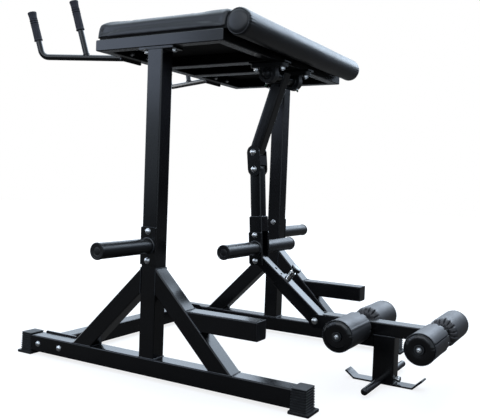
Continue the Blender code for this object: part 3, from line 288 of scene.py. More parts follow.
class Bench:
    """Adds and links the nodes of one node tree."""

    def __init__(self, tree: Tree) -> None:
        """Work on a tree."""
        self.tree = tree

    @classmethod
    def on(cls, owner: Any) -> "Bench":
        """Empty the tree of a material or a world, to work on it.

        Args:
            owner: The material or the world.

        Returns:
            A bench on its tree.
        """
        owner.use_nodes = True
        owner.node_tree.nodes.clear()
        return cls(owner.node_tree)

    def add(self, kind: str, inputs: Optional[Mapping[Any, Any]] = None, **settings: Any) -> bpy.types.Node:
        """Add a node.

        Args:
            kind: Type name of the node.
            inputs: Socket name or number to its value, or to the output that feeds it.
            **settings: Properties of the node.

        Returns:
            The node.
        """
        node = self.tree.nodes.new(kind)
        for name, value in settings.items():
            setattr(node, name, value)
        for socket, value in (inputs or {}).items():
            if isinstance(value, Socket):
                self.tree.links.new(value, node.inputs[socket])
            else:
                node.inputs[socket].default_value = value
        return node

    def where(self) -> Socket:
        """Place on the object."""
        return self.add('ShaderNodeTexCoord').outputs["Object"]

    def math(self, operation: str, *values: Any) -> Socket:
        """Output of a Math node with those values."""
        return self.add('ShaderNodeMath', dict(enumerate(values)), operation=operation).outputs[0]

    def vector(self, operation: str, inputs: Mapping[int, Any]) -> Socket:
        """Output of a Vector Math node: a value for a dot product or a length, or else a vector."""
        node = self.add('ShaderNodeVectorMath', inputs, operation=operation)
        return node.outputs["Value" if operation in ('DOT_PRODUCT', 'LENGTH') else "Vector"]

    def cloud(self, where: Socket, scale: Any, detail: float, **more: float) -> Socket:
        """Noise between 0 and 1."""
        inputs = {"Vector": where, "Scale": scale, "Detail": detail, **more}
        return self.add('ShaderNodeTexNoise', inputs).outputs[0]

    def blend(self, share: Any, first: Any, second: Any) -> Socket:
        """Colour between two colours."""
        values = [(*v, 1.0) if isinstance(v, tuple) else v for v in (first, second)]
        return self.add('ShaderNodeMix', {0: share, 6: values[0], 7: values[1]}, data_type='RGBA').outputs[2]

    def bump(self, height: Socket, strength: float, depth: float) -> Socket:
        """Normal bent by a height of that depth in metres."""
        inputs = {"Strength": strength, "Distance": depth, "Height": height}
        return self.add('ShaderNodeBump', inputs).outputs[0]

    def spread(self, value: Any, low: float, high: float, start: float = 0.0, end: float = 1.0) -> Socket:
        """Map a value from one range to another.

        Args:
            value: What is mapped.
            low: Result at the start.
            high: Result at the end.
            start: Start of the source range.
            end: End of the source range.

        Returns:
            The mapped value.
        """
        return self.add('ShaderNodeMapRange', {0: value, 1: start, 2: end, 3: low, 4: high}).outputs[0]


class Effects:
    """Shader groups that several finishes share, each built once."""

    @staticmethod
    def start(name: str, inputs: Mapping[str, Any], *outputs: str) -> tuple[Bench, Any]:
        """Begin a group.

        Args:
            name: Name of the group.
            inputs: Name and default of each input; a tuple makes a vector socket.
            *outputs: Names of the outputs, all values.

        Returns:
            A bench on the new group, and what its inputs give.
        """
        tree = bpy.data.node_groups.new(name, 'ShaderNodeTree')
        for label, default in inputs.items():
            kind = 'NodeSocketVector' if isinstance(default, tuple) else 'NodeSocketFloat'
            tree.interface.new_socket(name=label, in_out='INPUT', socket_type=kind).default_value = default
        for label in outputs:
            tree.interface.new_socket(name=label, in_out='OUTPUT', socket_type='NodeSocketFloat')
        bench = Bench(tree)
        return bench, bench.add('NodeGroupInput').outputs

    @staticmethod
    @cache
    def grain() -> Tree:
        """Fine surface grain, and broad patches of tone."""
        sockets = {"Scale": 800.0, "Stretch": (1.0, 1.0, 1.0), "Patch scale": 9.0}
        bench, given = Effects.start("Surface grain", sockets, "Height", "Patch")
        where = bench.where()
        pulled = bench.vector('MULTIPLY', {0: where, 1: given["Stretch"]})
        fine = bench.cloud(pulled, given["Scale"], 2.0, Roughness=0.55)
        broad = bench.cloud(where, given["Patch scale"], 4.0, Roughness=0.6)
        bench.add('NodeGroupOutput', {"Height": fine, "Patch": bench.spread(broad, 0.0, 1.0, 0.32, 0.68)})
        return bench.tree

    @staticmethod
    @cache
    def edge_rub() -> Tree:
        """Mask of corners where the finish is rubbed thin, broken up by noise."""
        bench, given = Effects.start("Edge rub", {"Radius": 0.0015, "Amount": 0.5, "Break-up": 60.0}, "Mask")
        round_off = bench.add('ShaderNodeBevel', {"Radius": given["Radius"]}, samples=4).outputs[0]
        true = bench.add('ShaderNodeNewGeometry').outputs["Normal"]
        edge = bench.spread(bench.vector('DOT_PRODUCT', {0: round_off, 1: true}), 1.0, 0.0, 0.80, 0.985)
        specks = bench.cloud(bench.where(), given["Break-up"], 5.0)
        broken = bench.spread(specks, 0.0, 1.0, 0.42, 0.62)
        mask = bench.math('MULTIPLY', bench.math('MULTIPLY', edge, broken), given["Amount"])
        bench.add('NodeGroupOutput', {"Mask": mask})
        return bench.tree

    @staticmethod
    @cache
    def dust() -> Tree:
        """Mask of thin dust on faces that look up."""
        bench, given = Effects.start("Settled dust", {"Amount": 0.2, "Scale": 35.0}, "Mask")
        normal = bench.add('ShaderNodeNewGeometry').outputs["Normal"]
        height = bench.add('ShaderNodeSeparateXYZ', {0: normal}).outputs["Z"]
        upward = bench.spread(height, 0.0, 1.0, 0.45, 1.0)
        cloud = bench.cloud(bench.where(), given["Scale"], 6.0, Roughness=0.65)
        settled = bench.math('MULTIPLY', upward, bench.spread(cloud, 0.0, 1.0, 0.35, 0.75))
        bench.add('NodeGroupOutput', {"Mask": bench.math('MULTIPLY', settled, given["Amount"])})
        return bench.tree

    @staticmethod
    @cache
    def hide() -> Tree:
        """Height of an embossed vinyl hide: small pebbles with soft stretch lines over them, and a mask for
        painted shade in the hollows between the pebbles.
        """
        sockets = {"Pebbles": 420.0, "Stretch lines": 26.0, "Line depth": 0.5}
        bench, given = Effects.start("Embossed hide", sockets, "Height", "Painted pore shade")
        where = bench.where()
        wobble = bench.add('ShaderNodeTexNoise', {"Vector": where, "Scale": 90.0, "Detail": 2.0})
        bent = bench.vector('SCALE', {0: wobble.outputs["Color"], 3: 0.004})
        cells = bench.add('ShaderNodeTexVoronoi', {"Vector": bench.vector('ADD', {0: where, 1: bent}),
                                                   "Scale": given["Pebbles"]}, feature='DISTANCE_TO_EDGE')
        pebble = bench.spread(cells.outputs[0], 0.0, 1.0, 0.0, 0.22)
        lines = bench.cloud(where, given["Stretch lines"], 5.0, Distortion=0.6)
        soft = bench.math('MULTIPLY', lines, given["Line depth"])
        # The second output is painted shade: a mask that is strongest in the hollows between the pebbles.
        bench.add('NodeGroupOutput', {"Height": bench.math('MULTIPLY_ADD', pebble, 0.35, soft),
                                      "Painted pore shade": bench.math('SUBTRACT', 1.0, pebble)})
        return bench.tree


# Finishes


@dataclass(frozen=True)
class Finish:
    """A surface finish, made into one material from the shared effects.

    Attributes:
        name: Name of the material.
        slot: Material slot of the record that it stands for; not used.
        colour: Base colour.
        roughness: Middle roughness.
        metallic: 1 for bare metal.
        specular: Strength of the reflection at the surface.
        tint: Colour of that reflection.
        coat: Weight of a clear coat.
        grain: Scale of the fine grain.
        grain_depth: Bump depth of the grain in metres.
        stretch: How the grain is drawn along each axis.
        tone: How far the colour varies over broad patches.
        rub: How much corners are rubbed.
        rub_colour: Colour of a rubbed corner.
        dust: How much dust lies on upward faces.
        dust_colour: Colour of the dust.
    """

    name: str
    slot: str
    colour: Colour
    roughness: float
    metallic: float = 0.0
    specular: float = 0.5
    tint: Colour = (1.0, 1.0, 1.0)
    coat: float = 0.0
    grain: float = 800.0
    grain_depth: float = 0.00003
    stretch: Triple = (1.0, 1.0, 1.0)
    tone: float = 0.2
    rub: float = 0.0
    rub_colour: Colour = (0.06, 0.062, 0.066)
    dust: float = 0.0
    dust_colour: Colour = (0.30, 0.29, 0.28)

    def material(self) -> bpy.types.Material:
        """The finish's material, built on first use."""
        known = bpy.data.materials.get(self.name)
        if known:
            return known
        made = bpy.data.materials.new(self.name)
        bench = Bench.on(made)
        made.diffuse_color = (*self.colour, 1.0)
        grain = bench.add('ShaderNodeGroup', {"Scale": self.grain, "Stretch": self.stretch},
                          node_tree=Effects.grain())
        colour, rough = self.worn(bench, grain.outputs["Patch"])
        colour, normal = self.relief(bench, colour, grain.outputs["Height"])
        shader = bench.add('ShaderNodeBsdfPrincipled', {
            "Base Color": colour, "Roughness": rough, "Normal": normal, "Metallic": self.metallic,
            "Specular IOR Level": self.specular, "Specular Tint": (*self.tint, 1.0),
            "Coat Weight": self.coat, "Coat Roughness": 0.12})
        bench.add('ShaderNodeOutputMaterial', {0: shader.outputs[0]})
        return made

    def relief(self, bench: Bench, colour: Socket, height: Socket) -> tuple[Socket, Socket]:
        """Colour and normal with the fine grain."""
        return colour, bench.bump(height, 1.0, self.grain_depth)

    def worn(self, bench: Bench, patch: Socket) -> tuple[Socket, Socket]:
        """Colour and roughness with patches of tone, rubbed corners and dust.

        Args:
            bench: Bench on the material's tree.
            patch: Value that varies over broad patches.

        Returns:
            The colour output and the roughness output.
        """
        darker, lighter = (tuple(c * (1 + sign * self.tone) for c in self.colour) for sign in (-1, 1))
        colour = bench.blend(patch, darker, lighter)
        rough = bench.spread(patch, self.roughness * 0.9, self.roughness * 1.1)
        if self.rub:
            group = bench.add('ShaderNodeGroup', {"Amount": self.rub}, node_tree=Effects.edge_rub())
            colour = bench.blend(group.outputs["Mask"], colour, self.rub_colour)
        if self.dust:
            group = bench.add('ShaderNodeGroup', {"Amount": self.dust}, node_tree=Effects.dust())
            colour = bench.blend(group.outputs["Mask"], colour, self.dust_colour)
            rough = bench.math('MULTIPLY_ADD', group.outputs["Mask"], 0.5, rough)
        return colour, rough


@dataclass(frozen=True)
class Vinyl(Finish):
    """Embossed vinyl with soft stretch lines, and painted shade darkening the hollows between its pebbles.

    Attributes:
        pebbles: Scale of the embossed pebbles.
        pebble_depth: Depth of the embossing in metres.
        line_depth: Share of the depth that the stretch lines take.
        painted_pore_shade: Colour of the painted shade in the hollows between the pebbles.
    """

    pebbles: float = 420.0
    pebble_depth: float = 0.00012
    line_depth: float = 0.5
    painted_pore_shade: Colour = (0.003, 0.003, 0.004)

    def relief(self, bench: Bench, colour: Socket, height: Socket) -> tuple[Socket, Socket]:
        """Colour and normal with the embossing in place of the fine grain, and painted shade in the hollows
        between the pebbles.

        Args:
            bench: Bench on the material's tree.
            colour: Colour before the painted shade in the hollows.
            height: Height of the fine grain, which the embossing hides.

        Returns:
            The colour output and the normal output.
        """
        hide = bench.add('ShaderNodeGroup', {"Pebbles": self.pebbles, "Line depth": self.line_depth},
                         node_tree=Effects.hide())
        # Painted shade: the hollows between the pebbles are darkened a little towards the shade colour.
        pore_shade = bench.math('MULTIPLY', hide.outputs["Painted pore shade"], 0.35)
        return (bench.blend(pore_shade, colour, self.painted_pore_shade),
                bench.bump(hide.outputs["Height"], 0.8, self.pebble_depth))


POWDER_COAT = Finish("Black powder coat", "black_paint", (0.0024, 0.0025, 0.0031), 0.20,
                     grain=1100.0, grain_depth=0.000004, tone=0.15, rub=0.12, dust=0.008)
SATIN_COAT = Finish("Satin black coat", "black_paint", (0.0028, 0.0029, 0.0035), 0.36,
                    grain=900.0, grain_depth=0.000006, tone=0.15, rub=0.12, dust=0.012)
WELD_COAT = Finish("Coated weld", "black_paint", (0.020, 0.021, 0.024), 0.24, grain=900.0, tone=0.5, rub=0.3)
WELD = Finish("Bare weld spatter", "black_paint", (0.075, 0.078, 0.085), 0.42, metallic=0.55,
              grain=900.0, tone=0.5)
ZINC = Finish("Bright zinc plate", "zinc_steel", (0.66, 0.67, 0.68), 0.26, metallic=1.0,
              grain=700.0, grain_depth=0.00002, tone=0.10)
CHROME = Finish("Polished pin steel", "zinc_steel", (0.72, 0.72, 0.71), 0.10, metallic=1.0,
                grain_depth=0.000004, tone=0.05)
BLACK_STEEL = Finish("Oiled black steel", "bearing_iron", (0.035, 0.036, 0.038), 0.34, metallic=0.6,
                     grain=500.0, tone=0.15)
CAST_IRON = Finish("Painted cast iron", "bearing_iron", (0.0060, 0.0064, 0.0074), 0.44,
                   grain=260.0, grain_depth=0.00018, tone=0.25, rub=0.4, dust=0.05)
RUBBER = Finish("Black rubber", "black_rubber", (0.0065, 0.0068, 0.0076), 0.50, specular=0.4,
                grain=420.0, grain_depth=0.00006, rub=0.3, dust=0.10)
PLASTIC = Finish("Moulded black plastic", "black_plastic", (0.0035, 0.0035, 0.0042), 0.33,
                 grain=650.0, tone=0.12)
KNOB_GLOSS = Finish("Glossy knob", "black_plastic", (0.004, 0.004, 0.005), 0.14, specular=0.6, coat=0.6,
                    grain_depth=0.000005, tone=0.1)
GREEN_CAP = Finish("Green nipple cap", "black_plastic", (0.006, 0.095, 0.030), 0.30, tone=0.1)
CUSHION_VINYL = Vinyl("Black table vinyl", "black_vinyl", (0.0040, 0.0044, 0.0056), 0.36,
                      tone=0.15, dust=0.01, pebble_depth=0.00008)
ROLLER_VINYL = Vinyl("Black roller vinyl", "black_vinyl", (0.0060, 0.0058, 0.0066), 0.44, specular=0.90,
                     tint=(1.0, 0.96, 0.97), tone=0.15, dust=0.015, pebbles=520.0,
                     pebble_depth=0.00008, line_depth=0.8)
END_VINYL = Vinyl("Glossy end vinyl", "black_vinyl", (0.0022, 0.0022, 0.0025), 0.20, tone=0.1,
                  pebbles=300.0, pebble_depth=0.00003)
THREAD = Finish("Grey thread", "black_vinyl", (0.055, 0.058, 0.066), 0.65, grain=2500.0, tone=0.1)
FOAM = Finish("Grip foam", "grip_foam", (0.040, 0.038, 0.046), 0.75, specular=0.3,
              grain=520.0, grain_depth=0.00028, tone=0.15, dust=0.04)
BOARD_CLOTH = Finish("Black backing cloth", "board_wood", (0.0060, 0.0056, 0.0054), 0.85, specular=0.25,
                     grain=900.0, grain_depth=0.00015, stretch=(1.0, 0.25, 1.0), tone=0.15)


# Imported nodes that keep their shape


def keep_faces_flat(piece: Piece, keep_sharp: bool) -> None:
    """Let the large faces of a piece set its normals.

    Args:
        piece: The piece.
        keep_sharp: Whether its sharp edges stay sharp.
    """
    even = piece.modifiers.new("Keep faces flat", 'WEIGHTED_NORMAL')
    even.mode = 'FACE_AREA'
    even.weight = 100
    even.keep_sharp = keep_sharp


@dataclass(frozen=True)
class CrispEdges:
    """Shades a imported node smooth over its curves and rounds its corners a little.

    Attributes:
        rounding: Width of the bevel on the corners, or 0 for none.
        weld: Distance within which the facets' points are joined.
        curve: Angle up to which facets belong to one curve, in degrees.
        flat: Angle up to which facets belong to one flat face, in degrees.
        corner: Angle from which an edge is rounded, in degrees.
    """

    rounding: float
    weld: float = 2e-6
    curve: float = 46.5
    flat: float = 0.5
    corner: float = 50.0

    @staticmethod
    @cache
    def tree(weld: float, curve: float) -> Tree:
        """Geometry nodes that weld a node's facets and mark its corners sharp.

        Args:
            weld: Distance within which the facets' points are joined.
            curve: Angle up to which facets belong to one curve, in degrees.

        Returns:
            The tree.
        """
        tree = bpy.data.node_groups.new("Smooth over curves", 'GeometryNodeTree')
        for way in ('INPUT', 'OUTPUT'):
            tree.interface.new_socket(name="Geometry", in_out=way, socket_type='NodeSocketGeometry')
        bench = Bench(tree)
        given = bench.add('NodeGroupInput').outputs[0]
        plain = bench.add('GeometryNodeRemoveAttribute', {"Geometry": given, "Name": "custom_normal"})
        welded = bench.add('GeometryNodeMergeByDistance', {"Geometry": plain.outputs[0], "Distance": weld})
        smooth = bench.add('GeometryNodeSetShadeSmooth', {"Geometry": welded.outputs[0]}, domain='FACE')
        angle = bench.add('GeometryNodeInputMeshEdgeAngle').outputs[0]
        corner = bench.add('FunctionNodeCompare', {0: angle, 1: math.radians(curve)},
                           operation='GREATER_THAN')
        parts = {"Geometry": smooth.outputs[0], "Selection": corner.outputs[0], "Shade Smooth": False}
        sharp = bench.add('GeometryNodeSetShadeSmooth', parts, domain='EDGE')
        bench.add('NodeGroupOutput', {0: sharp.outputs[0]})
        return tree

    def apply(self, piece: Piece) -> None:
        """Add the modifiers.

        Args:
            piece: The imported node.
        """
        piece.modifiers.new("Smooth over curves", 'NODES').node_group = self.tree(self.weld, self.curve)
        if self.rounding:
            flat = piece.modifiers.new("Join flat facets", 'DECIMATE')
            flat.decimate_type = 'DISSOLVE'
            flat.angle_limit = math.radians(self.flat)
            bevel = piece.modifiers.new("Round corners", 'BEVEL')
            bevel.width = self.rounding
            bevel.segments = 3
            bevel.limit_method = 'ANGLE'
            bevel.angle_limit = math.radians(self.corner)
            keep_faces_flat(piece, False)


def dress(look: Finish, *nodes: str, rounding: float = 0.0005) -> None:
    """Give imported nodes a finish.

    Args:
        look: The finish.
        *nodes: Names of the nodes.
        rounding: Width of the small bevel on their corners, or 0 for none.
    """
    for node in nodes:
        piece = frame["nodes"][node]
        for slot in piece.material_slots:
            slot.material = look.material()
        CrispEdges(rounding).apply(piece)
        LOG.info("%s keeps its shape, in %s", node, look.name)


# Mesh forms


def link_new(name: str, data: bpy.types.ID) -> Piece:
    """Add an object to the scene.

    Args:
        name: Name of the object.
        data: Mesh, lamp or camera that it shows.

    Returns:
        The object.
    """
    made = bpy.data.objects.new(name, data)
    bpy.context.scene.collection.objects.link(made)
    return made


class Form:
    """A mesh built up from lofted rings, then made a piece of the machine."""

    def __init__(self) -> None:
        """Start empty."""
        self.work = bmesh.new()
        self.looks: list[Finish] = []
        self.index = 0

    def use(self, look: Finish) -> "Form":
        """Give what is added next a finish.

        Args:
            look: The finish.

        Returns:
            This form.
        """
        if look not in self.looks:
            self.looks.append(look)
        self.index = self.looks.index(look)
        return self

    def loft(self, rings: Sequence[Sequence[Vector]], closed: bool = False) -> "Form":
        """Skin a row of rings.

        Args:
            rings: Rings with one number of points; a single point closes an end.
            closed: Whether the last ring joins the first.

        Returns:
            This form.
        """
        made = [[self.work.verts.new(point) for point in ring] for ring in rings]
        pairs = list(zip(made, made[1:])) + ([(made[-1], made[0])] if closed else [])
        faces = []
        for first, second in pairs:
            count = max(len(first), len(second))
            for i in range(count):
                j = (i + 1) % count
                if len(first) == 1:
                    corners = (first[0], second[j], second[i])
                elif len(second) == 1:
                    corners = (first[i], first[j], second[0])
                else:
                    corners = (first[i], first[j], second[j], second[i])
                faces.append(self.work.faces.new(corners))
        if not closed:
            faces += [self.work.faces.new(ring) for ring in (made[0], made[-1]) if len(ring) > 2]
        for face in faces:
            face.material_index = self.index
            face.smooth = True
        return self

    def lathe(self, profile: Profile, place: Matrix, steps: int = 48, ring: bool = False,
              warp: Optional[Warp] = None) -> "Form":
        """Turn a profile about a place's Z.

        Args:
            profile: Radius and height of each point, down the outside.
            place: Where the shape stands.
            steps: Segments around.
            ring: Whether the profile closes on itself.
            warp: Moves each point, in the place's own coordinates.

        Returns:
            This form.
        """
        flat = Matrix.Identity(4)
        rings = []
        for radius, height in profile:
            points = ring_points(radius, steps, flat, height) if radius > 1e-6 else [Z * height]
            rings.append([place @ (warp(p) if warp else p) for p in points])
        return self.loft(rings, ring)

    def slab(self, width: float, height: float, thickness: float, place: Matrix, corner: float = 0.004,
             edge: float = 0.0008) -> "Form":
        """Plate with rounded corners and edges.

        Args:
            width: Size along the place's X.
            height: Size along its Y.
            thickness: Size along its Z, half to each side.
            place: Middle of the plate.
            corner: Corner radius.
            edge: Rounding of the rims.

        Returns:
            This form.
        """
        half = thickness / 2
        rim = [(edge, -half), (edge * 0.3, edge * 0.3 - half), (0.0, edge - half)]
        rings = []
        for inset, level in rim + mirrored(rim):
            outline = rounded(width - 2 * inset, height - 2 * inset, max(corner - inset, 0.0005))
            rings.append([place @ (p + Z * level) for p in outline])
        return self.loft(rings)

    def sweep(self, path: Sequence[Vector], radius: Any, sides: int = 20, closed: bool = False) -> "Form":
        """Round bar along a path.

        Args:
            path: Points along the middle.
            radius: Radius, or one radius for each point.
            sides: Segments around.
            closed: Whether the path joins itself.

        Returns:
            This form.
        """
        count = len(path)
        radii = radius if isinstance(radius, (list, tuple)) else [radius] * count
        rings, previous = [], None
        for i, point in enumerate(path):
            before = path[i - 1] if i or closed else point
            after = path[(i + 1) % count] if i < count - 1 or closed else point
            along = (after - before).normalized()
            if previous is None:
                previous = along.orthogonal().normalized()
            previous = (previous - along * previous.dot(along)).normalized()
            rings.append(ring_points(radii[i], sides, at(point, along, previous)))
        return self.loft(rings, closed)

    def bead(self, corners: Sequence[Vector], radius: float) -> "Form":
        """Weld bead with overlapping ripples around a closed line.

        Args:
            corners: Corners of the line.
            radius: Radius of the bead.

        Returns:
            This form.
        """
        path = resample(corners, 0.0016)
        radii = []
        for i, point in enumerate(path):
            ripple = 0.86 + 0.14 * abs(math.sin(i * math.pi / 3))
            uneven = 1 + 0.16 * noise.noise(point * 90)
            radii.append(radius * ripple * uneven)
        return self.sweep(path, radii, 8, True)

    def hexagon(self, place: Matrix, flats: float, height: float) -> "Form":
        """Hexagon head or nut with a turned chamfer.

        Args:
            place: Middle of its seat; Z points outwards.
            flats: Distance across flats.
            height: Height of the head.

        Returns:
            This form.
        """
        count, reach = 36, flats / 2
        outline = []
        for i in range(count):
            angle = 2 * math.pi * i / count
            within = (angle % (math.pi / 3)) - math.pi / 6
            outline.append(spoke(angle) * (reach / math.cos(within)))
        chamfer = [p + Z * (height - 0.0022 * (p.length / reach - 0.80) / 0.355) for p in outline]
        return self.loft([[place @ p for p in outline], [place @ p for p in chamfer],
                          ring_points(flats * 0.47, count, place, height),
                          ring_points(flats * 0.30, count, place, height + 0.0002),
                          [place @ (Z * (height + 0.0002))]])

    def bolt(self, place: Matrix, head: Head = Head.HEX, thread: float = 0.010) -> "Form":
        """Bolt end on its washer.

        Args:
            place: Where the bolt leaves the face; Z points outwards.
            head: What shows.
            thread: Diameter of the thread.

        Returns:
            This form.
        """
        rim, washer = thread * 1.08, 0.0018
        self.lathe([(0.0, washer), (rim - 0.0005, washer), (rim, washer - 0.0004),
                    (rim, 0.0), (0.0, -0.0002)], place, 36)
        seat = shifted(place, z=washer)
        if head is Head.DOME:
            dome = [(thread * 0.98 * math.sin(a), thread * 0.55 * math.cos(a) + 0.0006) for a in quarter(7)]
            return self.lathe(dome + [(thread * 0.98, 0.0), (0.0, 0.0)], seat, 36)
        self.hexagon(seat, thread * 1.62, thread * (0.64 if head is Head.HEX else 0.82))
        if head is Head.NUT:
            tip, core = thread * 1.12, thread / 2
            self.lathe([(0.0, tip), (core - 0.0008, tip), (core, tip - 0.0008), (core, 0.0), (0.0, 0.0)],
                       seat, 24)
        return self

    def piece(self, name: str, body: str, replaced: Sequence[str] = (), crease: float = 38.0) -> Piece:
        """Finish the mesh and put it on its body.

        Args:
            name: Name of the piece.
            body: Body that it rides on.
            replaced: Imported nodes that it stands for.
            crease: Angle above which an edge stays sharp, in degrees; 90 or more for soft goods.

        Returns:
            The piece.
        """
        bmesh.ops.recalc_face_normals(self.work, faces=self.work.faces)
        mesh = bpy.data.meshes.new(name)
        self.work.to_mesh(mesh)
        self.work.free()
        mesh.set_sharp_from_angle(angle=math.radians(crease))
        for look in self.looks:
            mesh.materials.append(look.material())
        made = link_new(name, mesh)
        if crease < 90.0:
            keep_faces_flat(made, True)
        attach(made, body)
        if replaced:
            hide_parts(*replaced)
        LOG.info("%s rides on %s", name, body)
        return made


def form(look: Finish) -> Form:
    """New form in a finish."""
    return Form().use(look)


# Frame


@dataclass
class WeldedFrame:
    """Rails, uprights, braces, steps and crossbar, with their welds and bolts.

    Attributes:
        tube: Side of the main square tube.
        brace_top: Height where a brace's upper face meets its upright.
        crossbar_bolt: Distance of a crossbar bolt from the bar's middle.
        end_plate: Thickness of the crossbar's end plates.
        top_bolt: Distance of a top plate's bolt from the upright's middle.
        top_plate: Thickness of the plate on an upright.
        bead: Radius of the weld beads.
    """

    tube: float = 0.060
    brace_top: float = 0.3715
    crossbar_bolt: float = 0.0525
    end_plate: float = 0.006
    top_bolt: float = 0.055
    top_plate: float = 0.007
    bead: float = 0.0019

    def build(self) -> None:
        """Dress the nodes and add the welds and bolts."""
        dress(POWDER_COAT, "base_crossbar", *(f"pad_{end}_tube" for end in ENDS), rounding=0.0016)
        dress(POWDER_COAT, *both("base_rail", "upright", "brace_head", "brace_hip", "step_tube", "pad_rail",
                                 "centre_tube"), rounding=0.0016)
        dress(PLASTIC, *both("step_cap"), rounding=0.0012)
        for side in Side:
            self.side_welds(side)
            self.bolts(side)
        self.crossbar_welds()

    def side_welds(self, side: Side) -> None:
        """Beads where the tubes of one side meet.

        Args:
            side: Side of the machine.
        """
        upright, step = Extent.of(side.node("upright")), Extent.of(side.node("step_tube"))
        middle, rail_top = upright.centre, Extent.of(side.node("base_rail")).high.z
        half, width, slant = self.tube / 2, self.tube + 0.0004, self.tube * math.sqrt(2)
        beads = form(WELD_COAT)
        for height in (rail_top + 0.0004, upright.high.z - self.top_plate - 0.0002):
            beads.bead(box_path(at((middle.x, middle.y, height)), width, width), self.bead)
        for sign in (-1, 1):
            face = (middle.x + sign * (half + 0.0003), middle.y, self.brace_top - slant / 2)
            beads.bead(box_path(at(face, X, Z), width, slant), self.bead)
            foot_x = middle.x + sign * (half + self.brace_top - rail_top - slant / 2)
            beads.bead(box_path(at((foot_x, middle.y, rail_top + 0.0004)), slant, width), self.bead)
        across = Vector((1.0, 0.0, -1.0)).normalized()
        centre = (step.low.x + half + 0.0002, middle.y, step.centre.z + 0.0002)
        beads.use(WELD).bead(box_path(at(centre, Y.cross(across), Y), slant, width), self.bead)
        beads.piece(side.node("frame_welds"), "frame")

    def crossbar_welds(self) -> None:
        """Beads between the crossbar and its end plates."""
        bar, width = Extent.of("base_crossbar"), self.tube + 0.0006
        beads = form(WELD_COAT)
        for side in Side:
            y = side.value * (bar.high.y - self.end_plate - 0.0002)
            beads.bead(box_path(at((bar.centre.x, y, bar.centre.z), Y, Z), width, width), self.bead)
        beads.piece("crossbar_welds", "frame")

    def bolts(self, side: Side) -> None:
        """Bolts of the crossbar and of the upright's top plate.

        Args:
            side: Side of the machine.
        """
        bar, rail, upright = (Extent.of(node) for node in ("base_crossbar", side.node("base_rail"),
                                                           side.node("upright")))
        outer = rail.centre.y + side.value * rail.size.y / 2
        inner = side.value * (bar.high.y - self.end_plate)
        bolts = form(ZINC)
        for x in (bar.centre.x - self.crossbar_bolt, bar.centre.x + self.crossbar_bolt):
            bolts.bolt(at((x, outer, rail.centre.z), side.outward), Head.DOME)
            bolts.bolt(at((x, inner, rail.centre.z), -side.outward), Head.NUT)
        bolts.piece(side.node("crossbar_bolts"), "frame")
        bolts = form(ZINC)
        for x in (upright.centre.x - self.top_bolt, upright.centre.x + self.top_bolt):
            bolts.bolt(at((x, upright.centre.y, upright.high.z - self.top_plate), -Z, X), Head.HEX)
        bolts.piece(side.node("top_plate_bolts"), "frame")


@dataclass
class RubberFeet:
    """Ribbed shoes over the rail ends.

    Attributes:
        ribs: Number of ribs up the body.
        rib_depth: Depth of the grooves between them.
        flange: Height of the flange on the floor.
        taper: How much wider the body is at its foot.
        toe: How much longer the flange is than the body.
        lip: How much wider the flange is than the body.
        set_back: Distance of the body's middle from the flange's.
        corner: Corner radius of the body.
    """

    ribs: int = 8
    rib_depth: float = 0.0021
    flange: float = 0.009
    taper: float = 0.0020
    toe: float = 0.019
    lip: float = 0.011
    set_back: float = 0.004
    corner: float = 0.005

    def build(self) -> None:
        """Build the four feet."""
        for end, x_sign in zip(ENDS, (-1, 1)):
            for side in Side:
                self.foot(side.node(f"foot_cap_{end}"), x_sign)

    def foot(self, node: str, x_sign: int) -> None:
        """One ribbed foot.

        Args:
            node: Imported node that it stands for.
            x_sign: Which end of the machine it is at.
        """
        box = Extent.of(node)
        length, width, top = box.size.x, box.size.y, box.high.z
        middle = Vector((box.centre.x, box.centre.y, 0.0))

        def ring(grown: float, height: float) -> list[Vector]:
            """Outline of the body at a height."""
            outline = rounded(length - self.toe + grown, width - self.lip + grown, self.corner, 5)
            return [p + middle + Vector((-x_sign * self.set_back, 0.0, height)) for p in outline]

        rings = []
        for inset, height, corner in ((0.003, 0.0, 0.003), (0.0, 0.0015, 0.004),
                                      (0.0, self.flange - 0.002, 0.004), (0.0015, self.flange, 0.004)):
            outline = rounded(length - inset, width - inset, corner, 5)
            rings.append([p + middle + Z * height for p in outline])
        pitch = (top - 0.004 - self.flange) / self.ribs
        for rib in range(self.ribs):
            for share, inset in ((0.02, 1.0), (0.12, 0.0), (0.52, 0.0), (0.64, 1.0)):
                height = self.flange + (rib + share) * pitch
                rings.append(ring(self.taper * (1 - height / top) * 2 - 2 * self.rib_depth * inset, height))
        rings += [ring(-2 * inset, top - below)
                  for inset, below in ((0.0, 0.0025), (0.0006, 0.0008), (0.0024, 0.0))]
        form(RUBBER).loft(rings).piece(node.replace("foot_cap", "ribbed_foot"), "frame", [node], 50.0)


